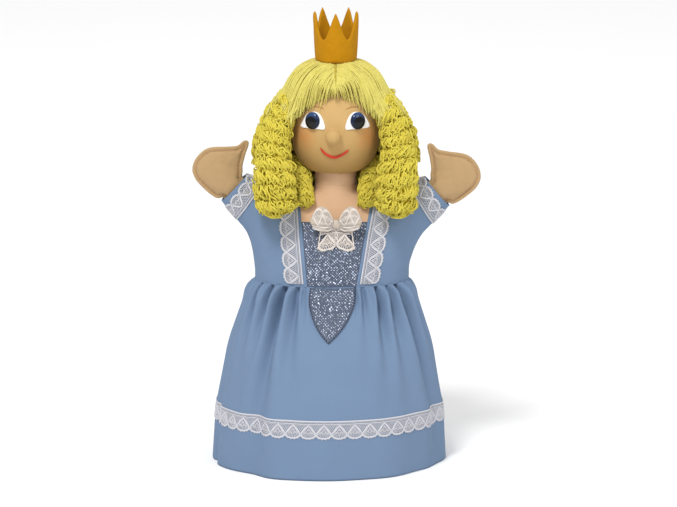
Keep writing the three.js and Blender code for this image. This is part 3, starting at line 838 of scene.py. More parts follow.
def build_skirt():
    z = SKIRT_FOOT_Z + np.linspace(0, 1, SKIRT_ROWS) * (WAIST_Z - 0.2 - SKIRT_FOOT_Z)
    outer, inner = skirt_sheet(SKIRT_COLUMNS, z, 0.0), skirt_sheet(SKIRT_COLUMNS, z, -CLOTH)
    n = SKIRT_COLUMNS * SKIRT_ROWS
    i = np.arange(SKIRT_COLUMNS)
    j = (i + 1) % SKIRT_COLUMNS
    top = n - SKIRT_COLUMNS
    faces = [grid_faces(SKIRT_COLUMNS, SKIRT_ROWS, ring_u=True)[:, ::-1],
             grid_faces(SKIRT_COLUMNS, SKIRT_ROWS, ring_u=True, first=n),
             np.stack([i, j, j + n, i + n], 1),
             np.stack([top + j, top + i, top + i + n, top + j + n], 1)]
    skirt = make("skirt", np.concatenate([outer, inner]), np.concatenate(faces), cotton)
    return enter(skirt, ["skirt_front", "skirt_back"])


def build_hem_fold():
    columns, rows = 240, 12
    points = skirt_sheet(columns, np.linspace(0.9, HEM_FOLD_Z, rows), -1.1)
    fold = make("hem_fold_inside", points, grid_faces(columns, rows, ring_u=True)[:, ::-1], cotton_inside_painted_shade)
    enter(thicken(fold, 0.7), ["hem_fold"], "skirt")


def build_hem_lace():
    angle = np.linspace(0, 2 * np.pi, 400)
    along = distance_along(on_skirt(angle, np.full(400, LACE_FOOT_Z + LACE_WIDTH / 2), 0.0))
    length = along[-1]

    def place(u, v, lift):
        return on_skirt(np.interp(u % length, along, angle), LACE_FOOT_Z + LACE_WIDTH - v, lift)
    strip = lace("lace_round_hem", length, place, lace_cotton, closed=True)
    enter(strip, ["hem_lace"], "skirt")


skirt = build_skirt()
build_hem_fold()
build_hem_lace()


# ---------------- bodice, sleeves and neck
def insert_half(z):
    """Half-width of the glitter insert at a height"""
    return INSERT_FOOT + (INSERT_TOP - INSERT_FOOT) * (z - WAIST_Z) / (NECKLINE_Z - WAIST_Z)


def insert_plane(side, keep_middle):
    """The upright plane through one edge of the insert, as (point, normal)"""
    heights = (WAIST_Z, NECKLINE_Z)
    low, high = (np.array([section(TORSO, z)[2] + side * insert_half(z), 0, z]) for z in heights)
    rise = high - low
    out = np.array([rise[2], 0, -rise[0]]) * side
    return low, out if keep_middle else -out


def cuff_plane(side):
    """The plane that ends the sleeve, as (point, normal)"""
    end = (CUFF - [0, 0, DROP[side]]) * [side, 1, 1]
    lean = HAND_LEAN + TURN[side] / 2
    return end, np.array([side * math.sin(lean), 0, math.cos(lean)])


UP, BACK = np.array([0, 0, 1.0]), np.array([0, 1.0, 0])
ABOVE_WAIST = ((0, 0, WAIST_Z - 0.7), -UP)
FRONT, REAR = ((0, 0, 0), BACK), ((0, 0, 0), -BACK)


def cloth_piece(name, planes, look):
    """The part of the dress inside some planes, as a thick sheet"""
    return thicken(make(name, *cut(*BODY_NET, planes), look), CLOTH)


def build_bodice():
    for name, side in SIDES.items():
        half = cloth_piece(f"{name}_bodice_and_sleeve",
                           [ABOVE_WAIST, insert_plane(side, False), cuff_plane(side)], cotton)
        enter(half, [f"{name}_bodice_panel", f"{name}_sleeve"])
        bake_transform(half)
    middle = [insert_plane(side, True) for side in SIDES.values()]
    back_top = (0, 0, NECK_FOOT_BACK_Z)
    neckline = (0, 0, NECKLINE_Z)
    back = cloth_piece("bodice_back_panel", [ABOVE_WAIST, *middle, REAR, (back_top, UP)], cotton)
    enter(back, ["bodice_back"], "bodice")
    insert = cloth_piece("glitter_insert_cloth", [ABOVE_WAIST, *middle, FRONT, (neckline, UP)], lurex)
    enter(insert, ["glitter_insert"], "bodice")
    seam = ((0, 0, NECK_SEAM_Z), UP)
    points, faces = cut(*BODY_NET, [*middle, FRONT, seam, (neckline, -UP)])
    more_points, more_faces = cut(*BODY_NET, [*middle, REAR, seam, (back_top, -UP)])
    faces += [[i + len(points) for i in f] for f in more_faces]
    chest = make("chest_and_neck_skin", *cut(np.concatenate([points, more_points]), faces, []), jersey)
    enter(thicken(chest, CLOTH), ["chest_panel", "neck_yoke"])
    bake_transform(chest)


def build_neck():
    """The top of the neck, from its seam up into the head"""
    columns, rows = 72, 14
    angle, z = np.meshgrid(ring_angles(columns), np.linspace(NECK_SEAM_Z - 0.4, CHIN_Z + 2.2, rows))
    radius = NECK_RADIUS - 0.15 + 0.25 * np.sin(3 * angle + z * 0.3) * np.clip((z - NECK_SEAM_Z) / 6, 0, 1)
    points = np.stack([radius * np.cos(angle), radius * np.sin(angle), z], -1).reshape(-1, 3)
    neck = make("neck_top_skin", points, grid_faces(columns, rows, ring_u=True), jersey)
    enter(thicken(neck, CLOTH), ["neck_cover"])
    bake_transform(neck)


def build_bodice_lace(name, side):
    low, high = WAIST_Z + 1.2, NECKLINE_Z + 10.5

    def beside_insert(z, away):
        return section(TORSO, z)[2] + side * (insert_half(z) + away)

    def place(u, v, lift):
        return on_front(body_distance, beside_insert(low + u, 1.9 + 1.05 * v), low + u, lift + 0.15)[0]
    strip = lace(f"{name}_bodice_lace_strip", high - low, place, lace_cotton)
    enter(strip, [f"{name}_bodice_lace"], "bodice")
    z = np.linspace(low, high, 60)
    seam, _ = on_front(body_distance, beside_insert(z, 2.5), z, 0.75)
    stitches(f"{name}_bodice_lace_stitches", seam, lace_cotton, "bodice", stitch=1.6, gap=1.0, radius=0.14)


def build_cuff_lace(name, side):
    start, axis, across, length = arm_frame(side)
    edge = length - 1.8

    def ring(angle, along):
        out = across * np.cos(angle)[:, None] - BACK * np.sin(angle)[:, None]
        return march(body_distance, start + axis * along[:, None], out)
    turn = np.linspace(0, 2 * np.pi, 200)
    line, _ = ring(turn, np.full(200, edge - LACE_WIDTH / 2))
    steps = distance_along(line)

    def place(u, v, lift):
        p, normal = ring(np.interp(u % steps[-1], steps, turn), edge - LACE_WIDTH + v * 0.96)
        return p + normal * (lift + 0.15)[:, None]
    strip = lace(f"{name}_cuff_lace_strip", steps[-1], place, lace_cotton, closed=True)
    enter(strip, [f"{name}_cuff_lace"], f"{name}_arm")


NECK_FOOT_BACK_Z = 170.0
BODY_NET = surface_net(body_distance, (-84, -37, WAIST_Z - 4), (84, 37, NECK_SEAM_Z + 4), 1.0)
build_bodice()
build_neck()
for build in (build_bodice_lace, build_cuff_lace):
    for name, side in SIDES.items():
        build(name, side)


# ---------------- glitter cloth
def glitter_dots(name, places, normals, body=None):
    """A small flat dot of its own size and tilt at most of the places"""
    random = np.random.default_rng(len(places))
    pile = Pile()
    corners, height = 6, 0.35
    turn = ring_angles(corners)[:, None]
    i = np.arange(corners)
    j = (i + 1) % corners
    faces = np.concatenate([np.stack([0 * i, i + 1, j + 1, j + 1], 1),
                            np.stack([j + 1, i + 1, i + 1 + corners, j + 1 + corners], 1)])
    for p, n in zip(places, normals):
        radius = random.choice([0.0, 0.36, 0.48, 0.56, 0.66], p=[0.08, 0.16, 0.3, 0.28, 0.18])
        if not radius:
            continue
        p = p + random.normal(0, 0.12, 3) * [1, 0, 1]
        n = unit(n + random.normal(0, 0.16, 3))
        a = unit(np.cross(n, UP))
        ring = radius * (np.cos(turn) * a + np.sin(turn) * np.cross(n, a))
        pile.add(np.vstack([p + height * n, p + 0.7 * (height * n + ring), p - 0.1 * n + ring]), faces)
    return enter(pile.make(name, sparkle), body=body)


def staggered(width, height, pitch=1.85):
    """Points of a grid whose every second row is shifted by half a pitch"""
    rows = np.arange(0, height, pitch * 0.5)
    found = [(x + (k % 2) * pitch / 2, z) for k, z in enumerate(rows) for x in np.arange(0, width, pitch)]
    return np.array(found)


def build_insert_dots():
    grid = staggered(2 * INSERT_TOP, NECKLINE_Z - WAIST_Z - 1.6) + [-INSERT_TOP, WAIST_Z + 1.0]
    grid = grid[np.abs(grid[:, 0]) < insert_half(grid[:, 1]) - 0.7]
    x = grid[:, 0] + section(TORSO, grid[:, 1])[2]
    glitter_dots("glitter_insert_dots", *on_front(body_distance, x, grid[:, 1]), "bodice")


def on_skirt_front(x, z, lift):
    """Points on the front of the skirt above x and z"""
    x, z = np.broadcast_arrays(x, z)
    w, _, shift = section(SKIRT, z)
    angle = np.arccos(np.clip((x - shift) / w, -1, 1))
    return on_skirt(angle, z, lift)


POINT_FOOT_X, POINT_TOP_X = -4.6, -1.5
POINT_FOOT_Z, POINT_TOP_Z = 85.0, WAIST_Z - 0.6
POINT_HALF, POINT_FULLNESS = 14.5, 2.6
POINT_LIFT = 0.9  # the glitter cloth lies this much above the skirt


def point_half(z):
    """Half-width of the glitter point at a height"""
    up = np.clip((z - POINT_FOOT_Z) / (POINT_TOP_Z - POINT_FOOT_Z), 0, 1)
    return POINT_HALF * (1 - (1 - up) ** POINT_FULLNESS)


def point_middle(z):
    return np.interp(z, [POINT_FOOT_Z, POINT_TOP_Z], [POINT_FOOT_X, POINT_TOP_X])


def build_glitter_point():
    columns, rows = 31, 41
    u, v = np.meshgrid(np.linspace(-1, 1, columns), np.linspace(0, 1, rows))
    z = POINT_FOOT_Z + v * (POINT_TOP_Z - POINT_FOOT_Z)
    x = point_middle(z) + u * np.maximum(point_half(z), 0.15)
    points = on_skirt_front(x, z, POINT_LIFT).reshape(-1, 3)
    sheet = thicken(make("glitter_point_cloth", points, grid_faces(columns, rows), lurex), 0.5)
    grid = staggered(30, POINT_TOP_Z - POINT_FOOT_Z) + [-15, POINT_FOOT_Z + 2.5]
    grid = grid[(np.abs(grid[:, 0]) < point_half(grid[:, 1]) - 1.2) & (grid[:, 1] < POINT_TOP_Z)]
    x, z = grid[:, 0] + point_middle(grid[:, 1]), grid[:, 1]
    p = on_skirt_front(x, z, POINT_LIFT)
    dots = glitter_dots("glitter_point_dots", p, on_skirt_front(x, z, POINT_LIFT + 1) - p)
    z = np.linspace(POINT_FOOT_Z + 0.2, POINT_TOP_Z, 60)
    half = point_half(z) - 0.3
    left, right = (on_skirt_front(point_middle(z) + side * half, z, 1.15) for side in (-1, 1))
    line = np.vstack([left[::-1], right])
    edge = stitches("glitter_point_edge", line, dark_thread, None, stitch=1.1, gap=0.8, radius=0.4)
    enter(sheet, ["glitter_point"])
    enter(edge)
    return sheet, dots, edge


build_insert_dots()
point_pieces = build_glitter_point()


# ---------------- felt and lace shapes from outlines
def edge_distance(points, outline):
    """Distance of 2-D points from a closed outline"""
    a, b = outline, np.roll(outline, -1, axis=0)
    ab = b - a
    t = np.clip(np.einsum("pij,ij->pi", points[:, None] - a[None], ab) / np.sum(ab * ab, 1), 0, 1)
    return np.linalg.norm(points[:, None] - a[None] - t[..., None] * ab, axis=2).min(1)


def patch(name, outline, centre, place, thickness, look, rings, edge, rise=None):
    """A plate with rounded edges. place(a, b, lift) maps it, and rise(points, to_edge) lifts its top."""
    outline, centre = np.asarray(outline, float), np.asarray(centre, float)
    n = len(outline)
    share = 1 - (1 - np.linspace(0, 1, rings + 1)[1:]) ** 1.6
    flat = np.concatenate([centre[None], *(centre + (outline - centre) * s for s in share)])
    to_edge = edge_distance(flat, outline)
    k = np.clip(to_edge / edge, 0, 1)
    top = thickness * (0.35 + 0.65 * np.sqrt(1 - (1 - k) ** 2))
    if rise:
        top = top + rise(flat, to_edge)
    upper = place(flat[:, 0], flat[:, 1], top)
    lower = place(flat[:, 0], flat[:, 1], 0 * top)
    ring = grid_faces(n, rings, ring_u=True, first=1)
    fan = [(0, 1 + (i + 1) % n, 1 + i) for i in range(n)]
    m = len(flat)
    last = m - n
    side = [(last + i, last + i + m, last + (i + 1) % n + m, last + (i + 1) % n) for i in range(n)]
    under = [tuple(f) for f in [*fan, *ring]]
    faces = [f[::-1] for f in under] + side + [tuple(i + m for i in f) for f in under]
    return make(name, np.concatenate([upper, lower]), faces, look)


def closed_curve(points, count):
    """Evenly spaced points of a smooth loop through a few points"""
    p = np.asarray(points, float)
    p = np.vstack([p[-2:], p, p[:2]])
    full = smooth_curve(p, count * 3)
    t = np.linspace(0, len(p) - 1, count * 3)
    inside = (t >= 2) & (t < len(p) - 2)
    line, _ = by_length(np.vstack([full[inside], full[inside][:1]]), 1.0)
    again = np.linspace(0, len(line) - 1, count + 1)[:-1]
    return np.stack([np.interp(again, np.arange(len(line)), line[:, k]) for k in range(2)], 1)


# ---------------- bow
BOW = np.array([0.3, -26.6, 157.5])
BOW_LOOP = [[1.2, -1.4], [6, -5], [12, -3.2], [15, 2.5], [11.4, 10], [7.5, 11.5], [3.6, 7], [1.2, 1.6]]


def on_bow_loop(x, z, lift):
    """Points on a loop of the bow, whose pleats spread from the knot"""
    fan = np.arctan2(z, np.abs(x) + 0.5)
    away = np.hypot(x, z)
    pleat = 0.5 * np.sin(fan * 15) * np.clip(away / 4, 0, 1) * np.clip((17 - away) / 8, 0, 1)
    return BOW + np.stack([1.1 * x, -0.10 * np.abs(x) - lift - pleat, z], 1)


def loop_puff(to_edge):
    """How much the loop is filled out at a distance from its edge"""
    return 1.9 * (1 - np.exp(-to_edge / 2.2))


def build_bow_loop(name, side):
    outline = closed_curve(np.array(BOW_LOOP) * [side, 1], 90)
    loop = patch(f"{name}_bow_loop_cloth", outline, (side * 8, 2.5), on_bow_loop, 0.8, bow_cotton,
                 rings=12, edge=0.7, rise=lambda _, to_edge: loop_puff(to_edge))
    across = np.linspace(1.6, 14.0, 32)
    near = [outline[np.abs(outline[:, 0] * side - x) < 0.9, 1] for x in across]
    foot, top = np.array([n.min() for n in near]), np.array([n.max() for n in near])

    def place(u, v, lift):
        x = 1.8 + u / (2 * LACE_PITCH) * 11.9
        low, high = np.interp(x, across, foot) + 0.3, np.interp(x, across, top) - 0.3
        z = low + (high - low) * (0.02 + 0.96 * v / LACE_WIDTH)
        to_edge = np.minimum(np.minimum(z - low, high - z), 15 - x) + 0.4
        return on_bow_loop(x * side, z, loop_puff(np.maximum(to_edge, 0)) + 0.75 + 0.7 * lift)
    rib = lace(f"{name}_bow_loop_lace", 2 * LACE_PITCH, place, bow_lace)
    enter(loop, [f"{name}_bow_loop"], "bodice")
    enter(rib, body="bodice")


def build_bow_tail(name, side):
    """A short end of lace with a hem cord down each side"""
    def place(u, v, lift):
        x = 0.3 + u * (0.9 + 0.016 * v)
        z = -2.6 - 1.18 * v - 0.14 * x
        wave = 0.8 * np.sin(x + 0.8 * side) * np.clip(-(z + 2) / 8, 0, 1)
        return BOW + np.stack([x * side, 0.1 - 0.8 * lift - wave + 0.06 * (z + 3), z], 1)
    tail = lace(f"{name}_bow_tail_lace", LACE_PITCH + 1.0, place, bow_lace)
    down = np.linspace(0.3, LACE_WIDTH - 1.4, 24)
    hems = Pile()
    for u in (0.2, LACE_PITCH + 0.8):
        line = place(u + 0.15 * np.sin(2.1 * down), down, 0.35)
        hems.add(*tube(line, 0.42, sides=8, lobes=2, lobe_depth=0.3, twist=0.5))
    enter(tail, [f"{name}_bow_tail"], "bodice")
    enter(hems.make(f"{name}_bow_tail_hems", bow_lace), body="bodice")


def build_bow_knot():
    knot = Pile()
    turn = np.linspace(0, 2 * np.pi, 25)
    for k in range(5):
        x = -1.3 + 0.65 * k
        path = np.stack([x + 0.15 * np.sin(turn * 2 + k), -0.9 - 1.5 * np.sin(turn), 2.6 * np.cos(turn)], 1)
        knot.add(*tube(BOW + path, 0.55, sides=8))
    enter(knot.make("bow_knot_threads", bow_cotton), ["bow_knot"], "bodice")


for name, side in SIDES.items():
    build_bow_loop(name, side)
    build_bow_tail(name, side)
build_bow_knot()


# ---------------- hands
# Outline of a hand as [along, towards the thumb], from the cuff
MITTEN = [
    [-4, -8.2], [0.5, -9], [3, -12], [8, -13.1], [14.4, -13.2], [21.7, -12.3], [27.6, -8.8], [30.6, -1.5],
    [29.2, 8], [20.4, 17.5], [16.6, 22], [16, 26.5], [14.2, 28.5], [12, 27.4], [9.1, 21.1], [5.6, 14.8],
    [3, 12], [0.5, 9], [-4, 8.2],
]
HAND_OUTLINE = closed_curve(MITTEN, 190)
HAND_MIDDLE = np.array([13.0, 3.0])
FELT = 1.45  # thickness of the hand felt
SEAM_IN = 2.4  # the seam's distance from the edge


def hand_place(side, out):
    """The function that maps one felt of a hand: along the hand, across it, lifted off the middle"""
    lean = HAND_LEAN + TURN[side]
    along = np.array([side * math.sin(lean), 0, math.cos(lean)])
    across = np.array([-side * math.cos(lean), 0, math.sin(lean)])
    end = cuff_plane(side)[0]

    def place(s, t, lift):
        p = np.stack([s, t, 0 * s], 1)
        warp = 0.35 * ripple(p, 26, 40 + side)
        inside = np.clip(edge_distance(p[:, :2], HAND_OUTLINE) / 3.0, 0, 1)
        filled = 3.6 * np.maximum(0, 1 - (t / 11) ** 2) * np.clip((26 - s) / 26, 0, 1) * inside
        q = end + along * s[:, None] + across * t[:, None]
        q[:, 1] += out * (0.12 + filled + lift) + warp
        return q
    return place


def hand_rise(p, to_edge, seed):
    """The felt's own relief: filled inside the seam, drawn in along it"""
    filled = 1.1 * (1 - np.exp(-np.maximum(to_edge - 2.6, 0) / 2.5))
    groove = -0.75 * np.exp(-(((to_edge - SEAM_IN) / 0.55) ** 2))
    pinch = -0.35 * np.exp(-(((to_edge - 1.2) / 1.1) ** 2))
    return filled + groove + pinch + 0.12 * ripple(np.stack([*p.T, 0 * p[:, 0]], 1), 7, seed)


def hand_seam():
    """The line of the seam, from one side of the open cuff round to the other"""
    tangent = np.roll(HAND_OUTLINE, -1, 0) - np.roll(HAND_OUTLINE, 1, 0)
    normal = unit(np.stack([-tangent[:, 1], tangent[:, 0]], 1))
    if np.sum(normal * (HAND_MIDDLE - HAND_OUTLINE)) < 0:
        normal = -normal
    seam = HAND_OUTLINE + SEAM_IN * normal
    seam = seam[edge_distance(seam, HAND_OUTLINE) > 2.2]
    seam = seam[seam[:, 0] > 1.2]
    start = np.argmax(np.linalg.norm(seam - np.roll(seam, 1, 0), axis=1))
    return np.roll(seam, -start, 0)


def build_hand_felt(name, layer, place, seed):
    felt = patch(f"{name}_hand_{layer}_felt", HAND_OUTLINE, HAND_MIDDLE, place, FELT, hand_felt,
                 rings=22, edge=0.9, rise=lambda p, to_edge: hand_rise(p, to_edge, seed))
    enter(felt, [f"{name}_hand_{layer}"], f"{name}_hand")
    seam = hand_seam()
    path = place(*seam.T, np.full(len(seam), FELT - 0.5))
    row = stitches(f"{name}_hand_{layer}_stitches", path, peach_thread, f"{name}_hand", stitch=1.9)
    enter(row)


for name, side in SIDES.items():
    for layer, out in (("front", -1), ("back", 1)):
        build_hand_felt(name, layer, hand_place(side, out), 50 + out)


# ---------------- head and face
def head_with_bore(x, y, z):
    """The head with the hole for the core, so that its inside is open from below"""
    bore = np.maximum(np.hypot(x, y) - BORE_RADIUS, z - BORE_TOP_Z)
    return np.maximum(head_distance(x, y, z), -bore)


def build_head():
    net = surface_net(head_with_bore, (-33, -39, CHIN_Z - 3), (33, 33, HEAD_Z + HEAD_UP + 3), 0.9)
    enter(make("head_skin", *net, face_jersey), ["face_skin", "nose_ball"], "head")


def on_face(x, z, lift=0.0):
    """Points on the front of the head at x and z, lifted off it"""
    return on_front(head_distance, x, z, lift, start_y=-14)[0]


# Outline of the left eye's white, from its middle
EYE_WHITE = [[-8, -4.4], [-6.6, 0.4], [-3.6, 4.6], [0.4, 6.2], [3.6, 5], [6, 1], [7, -4.4], [3, -4.7],
             [-2.5, -4.7]]
PUPIL_RADIUS = 5.05
PUPIL_HEIGHT = 2.1


def build_eye_white(name, side):
    def place(x, z, lift):
        return on_face(FACE_X + side * EYE_X + x, EYE_Z + z, lift - 0.2)
    outline = closed_curve(np.array(EYE_WHITE) * [-side, 1], 110)
    white = patch(f"{name}_eye_white_felt", outline, (0, 0), place, 1.1, eye_felt, rings=8, edge=0.6)
    enter(white, [f"{name}_eye_white"], "head")


def build_pupil(name, side):
    """A domed button that lies on the white"""
    x, z = FACE_X + side * (EYE_X + 0.4), EYE_Z + 0.5
    here = on_face(x, z)[0]
    normal = unit(on_face(x, z, 1.0)[0] - here)
    up = unit(UP - normal * normal[2])
    right = np.cross(up, normal)
    rise = np.linspace(0, np.pi / 2, 15)[:-1]
    dome_line = np.stack([PUPIL_RADIUS * np.cos(rise), 0.3 + PUPIL_HEIGHT * np.sin(rise)], 1)
    profile = np.concatenate([[[5.1, -1.2], [5.1, -0.1], [5.15, 0.1]], dome_line])
    sides, rows = 48, len(profile)
    turn = ring_angles(sides)[:, None]
    base = here + normal
    out = np.cos(turn) * right + 1.08 * np.sin(turn) * up
    points = [base + normal * h + r * out for r, h in profile]
    points = np.concatenate([*points, [base + normal * 2.4], [base - normal * 1.2]])
    top, last = rows * sides, (rows - 1) * sides
    faces = [tuple(f) for f in grid_faces(sides, rows, ring_u=True)]
    faces += [(last + i, last + (i + 1) % sides, top) for i in range(sides)]
    faces += [((i + 1) % sides, i, top + 1) for i in range(sides)]
    button = make(f"{name}_eye_button", points, faces, pupil_look(f"{name}_eye_gloss", base, up))
    enter(button, [f"{name}_pupil"], "head")


def build_brow(name, side):
    x = FACE_X + side * (11.5 + np.linspace(-4.6, 4.2, 24))
    z = EYE_Z + 9.4 - 0.05 * np.linspace(-5.2, 4.8, 24) ** 2
    thick = 0.3 * np.sin(np.linspace(0.25, np.pi - 0.25, 24))
    brow = make(f"{name}_brow", *tube(on_face(x, z, 0.12), thick), brow_thread)
    enter(brow, body="head")


def build_mouth():
    """A laid cord along a smile"""
    line = smooth_curve([[-9.4, 206.6], [-6, 202.9], [-0.8, 200.8], [4.6, 202.6], [8.6, 205.6]], 60)
    path, _ = by_length(on_face(line[:, 0] + FACE_X, line[:, 1], 0.45), 0.25)
    count = np.arange(len(path))
    ends = np.clip(np.minimum(count, count[::-1]) / 6, 0.4, 1)
    thick = 0.62 + 0.22 * np.sin(np.linspace(0, np.pi, len(path))) ** 2
    cord = tube(path, thick * ends, sides=14, lobes=3, lobe_depth=0.45, twist=0.35)
    enter(make("mouth_cord", *cord, red_thread), ["mouth_thread"], "head")


build_head()
for name, side in SIDES.items():
    for build in (build_eye_white, build_pupil, build_brow):
        build(name, side)
build_mouth()


# ---------------- hair
STRANDS = 180  # in each layer of each side
CAP_YARN_RADIUS = 0.46
HAIRLINE_RADIUS = 34
PARTING_FRONT, PARTING_REAR = 247.5, 228.0
# Lower edge of the hair cap on +X, as [degrees round from the front, height]
HAIRLINE = np.array([
    [0, 241.6], [10, 240.4], [20, 238.4], [30, 236], [37, 233], [45, 229], [53, 223], [61, 223.5],
    [68, 227], [90, 228], [120, 226], [150, 225], [180, 224],
])


def smooth_step(t):
    """From 0 to 1 with soft ends"""
    t = np.clip(t, 0, 1)
    return t * t * (3 - 2 * t)


def hair_radius(turn, z):
    """Distance of the hair's outside from the middle: a full dome that flows out over the ringlets"""
    rise = np.clip(np.abs(z - HAIR_CENTRE[2]) / HAIR_RADII[2], 0, 0.999)
    full = HAIR_RADII[0] * (1 - rise**HAIR_POWER) ** (1 / HAIR_POWER)
    beside = smooth_step((np.abs(turn) - math.radians(40)) / math.radians(28))
    return full + 12 * beside * smooth_step((243 - z) / 21)


def dome(direction, lift=0.0):
    """A point on the hair in the direction of a unit vector"""
    level = np.hypot(direction[..., 0], direction[..., 1])
    size = (level**HAIR_POWER + np.abs(direction[..., 2]) ** HAIR_POWER) ** (-1 / HAIR_POWER)
    p = HAIR_CENTRE + direction * size[..., None] * HAIR_RADII
    turn = np.arctan2(direction[..., 0], -direction[..., 1])
    out = hair_radius(turn, p[..., 2]) - hair_radius(0 * turn, p[..., 2])
    p[..., 0] += out * np.sin(turn)
    p[..., 1] -= out * np.cos(turn)
    return p + unit(direction) * np.asarray(lift)[..., None]


def toward(turn, z):
    """The unit vector whose point on the hair is turned this far from the front, at height z"""
    rise = (z - HAIR_CENTRE[2]) / HAIR_RADII[2]
    level = (1 - np.abs(rise) ** HAIR_POWER) ** (1 / HAIR_POWER)
    return unit(np.stack([level * np.sin(turn), -level * np.cos(turn), rise + 0 * turn], -1))


def slerp(a, b, count):
    """Unit vectors on the great circle from one to another"""
    angle = math.acos(np.clip(a @ b, -1, 1))
    t = np.linspace(0, 1, count)[:, None]
    return (np.sin((1 - t) * angle) * a + np.sin(t * angle) * b) / math.sin(angle)


def parting(count):
    """Directions along the parting, from the forehead to the nape"""
    return slerp(toward(np.array(0.0), PARTING_FRONT), toward(np.array(math.pi), PARTING_REAR), count)


def hairline_angles(count):
    """Turn and height of evenly spaced points along the hairline of one side"""
    degrees = np.linspace(0, 180, 721)
    turn, z = np.radians(degrees), np.interp(degrees, *HAIRLINE.T)
    along = distance_along(np.stack([HAIRLINE_RADIUS * turn, z], 1))
    at = np.linspace(0, along[-1], count)
    return np.interp(at, along, turn), np.interp(at, along, z)


def face_below(points, lift):
    """The points on the face that are level with these and turned the same way"""
    turn = np.arctan2(points[:, 0], -points[:, 1])
    out = np.stack([np.sin(turn), -np.cos(turn), 0 * turn], 1)
    level = np.stack([0 * turn, 0 * turn, points[:, 2]], 1)
    p, normal = march(head_distance, level + 8 * out, out)
    return p + normal * lift


def over_face(turn):
    """1 over the face, 0 at the side and the back"""
    return 1 - smooth_step((turn - math.radians(34)) / math.radians(16))


def strand_end(random, side, turn, foot):
    """The direction in which a strand ends, unevenly below the hairline"""
    front = over_face(turn)
    drop = random.uniform(-4.0, 5.0)
    if front:
        drop = random.uniform(-2.2, 2.4) + 3.4 * front * max(0, random.normal(0, 0.7))
    return toward(np.array(side * (turn + random.normal(0, 0.012 + 0.03 * front))), foot - drop)


def cap_strand(random, side, layer, root, turn, foot, bundle):
    """A strand from the parting to the hairline, which lies down on the face or ends under the others"""
    front = over_face(turn)
    t = np.linspace(0, 1, 36)
    path = slerp(root, strand_end(random, side, turn, foot), len(t))
    lift = (-0.7, 0.15)[layer] + random.uniform(-0.2, 0.25) + 0.25 * np.sin(9 * t + random.uniform(0, 6))
    lift = lift - 1.3 * np.exp(-36 * t / 2.2)
    lift = lift - (1 - front) * random.uniform(1.0, 4.5) * smooth_step((t - 0.78) / 0.22)
    points = dome(path, lift)
    if front > 0:
        tuck = front * smooth_step((t - 0.45) / 0.5)[:, None]
        points = points * (1 - tuck) + face_below(points, 0.9 + 0.7 * layer) * tuck
    sway = (random.normal(0, 0.22) + 0.25 * bundle) * np.sin(np.pi * t)
    points[:, 0] += sway * np.cos(turn)
    points[:, 1] += sway * np.sin(turn)
    points, _ = by_length(points, 2.6)
    share = np.linspace(0, 1, len(points))
    tip = 1 - 0.75 * front * np.clip((share - 0.7) / 0.3, 0, 1) ** 1.5
    return tube(points, CAP_YARN_RADIUS * tip, lobes=3, lobe_depth=0.2, twist=0.5)


def build_cap():
    """Two layers of strands on each side of the parting"""
    random = np.random.default_rng(21)
    turn, foot = hairline_angles(STRANDS)
    roots = parting(STRANDS)
    cap = Pile()
    for side in (-1, 1):
        for layer in (0, 1):
            bundle = np.cumsum(random.normal(0, 0.35, STRANDS))
            bundle = bundle - np.convolve(bundle, np.ones(9) / 9, "same")
            for strand in zip(roots, turn, foot, bundle):
                cap.add(*cap_strand(random, side, layer, *strand))
    enter(cap.make("hair_cap_strands", cap_yarn), ["hair_cap", "fringe"], "head")


def build_hair_base(name, side):
    """The layer under the strands, so that no skin shows between them"""
    columns, rows, steps = 30, 80, 60
    turn, foot = hairline_angles(rows)
    lines = []
    for root, a, z in zip(parting(rows), turn, foot):
        path = slerp(root, toward(np.array(side * a), z + 1.5), steps)[:steps - int(38 * over_face(a))]
        keep = np.linspace(0, len(path) - 1, columns).astype(int)
        lines.append(dome(path[keep], -0.9))
    base = make(f"{name}_hair_base", np.concatenate(lines), grid_faces(columns, rows), cap_yarn)
    enter(thicken(base, 1.0), body="head")


def build_nape():
    """The hair that lies on the head under the ringlets"""
    random = np.random.default_rng(31)
    nape = Pile()
    t = np.linspace(0, 1, 16)
    for a in np.radians(np.arange(86, 275, 1.7)):
        z = 232 - (30 + random.uniform(-2, 2)) * t
        turn = a + random.normal(0, 0.02) * np.sin(4 * t)
        p = np.stack([32 * np.sin(turn), -32 * np.cos(turn), z], 1)
        line = face_below(p, 1.0 + random.uniform(0, 0.6))
        nape.add(*tube(line, 0.85, lobes=3, lobe_depth=0.3, twist=0.5))
    enter(nape.make("nape_strands", yarn), body="head")


# Ringlets on +X, front to back, then the short one behind the chin: radius, numbers of the CAD nodes that
# it stands for, and its curve from the top down as [out from the middle, back, up]
RINGLETS = [
    (13.8, (1, 2), [[28, -11, 236], [38.6, -17.5, 212], [39.2, -26.0, 185], [36.8, -27.5, 162.5]]),
    (10.2, (3,), [[30, 5, 237], [41, 8, 215], [44.5, 5.5, 187]]),
    (10.2, (4,), [[25, 16.5, 237], [36, 24, 211], [39, 27.5, 164.5]]),
    (10.0, (5,), [[15.5, 26, 237], [23, 36, 211], [25, 37, 161]]),
    (9.6, (6,), [[5.5, 30, 237], [8, 41.5, 211], [8.6, 41, 158]]),
    (7.0, (7,), [[25.5, 4, 192], [22.5, -7, 184], [19.5, -19.5, 167]]),
]


# Share of the radius down a ringlet, at these shares of its length
SWELL_AT = [0, 0.3, 0.5, 0.72, 0.92, 1]
LONG_SWELL, SHORT_SWELL = [0.42, 0.62, 0.76, 1, 0.94, 0.5], [0.8, 0.9, 1, 1, 0.9, 0.5]
SPINE_STEP = 0.5
STRAND_SPACING = 0.78
LOOSE_CURLS = 1.3 / 4  # for each millimetre of length and each millimetre of radius
CURL_YARN = {"lobes": 3, "lobe_depth": 0.28, "twist": 0.4}


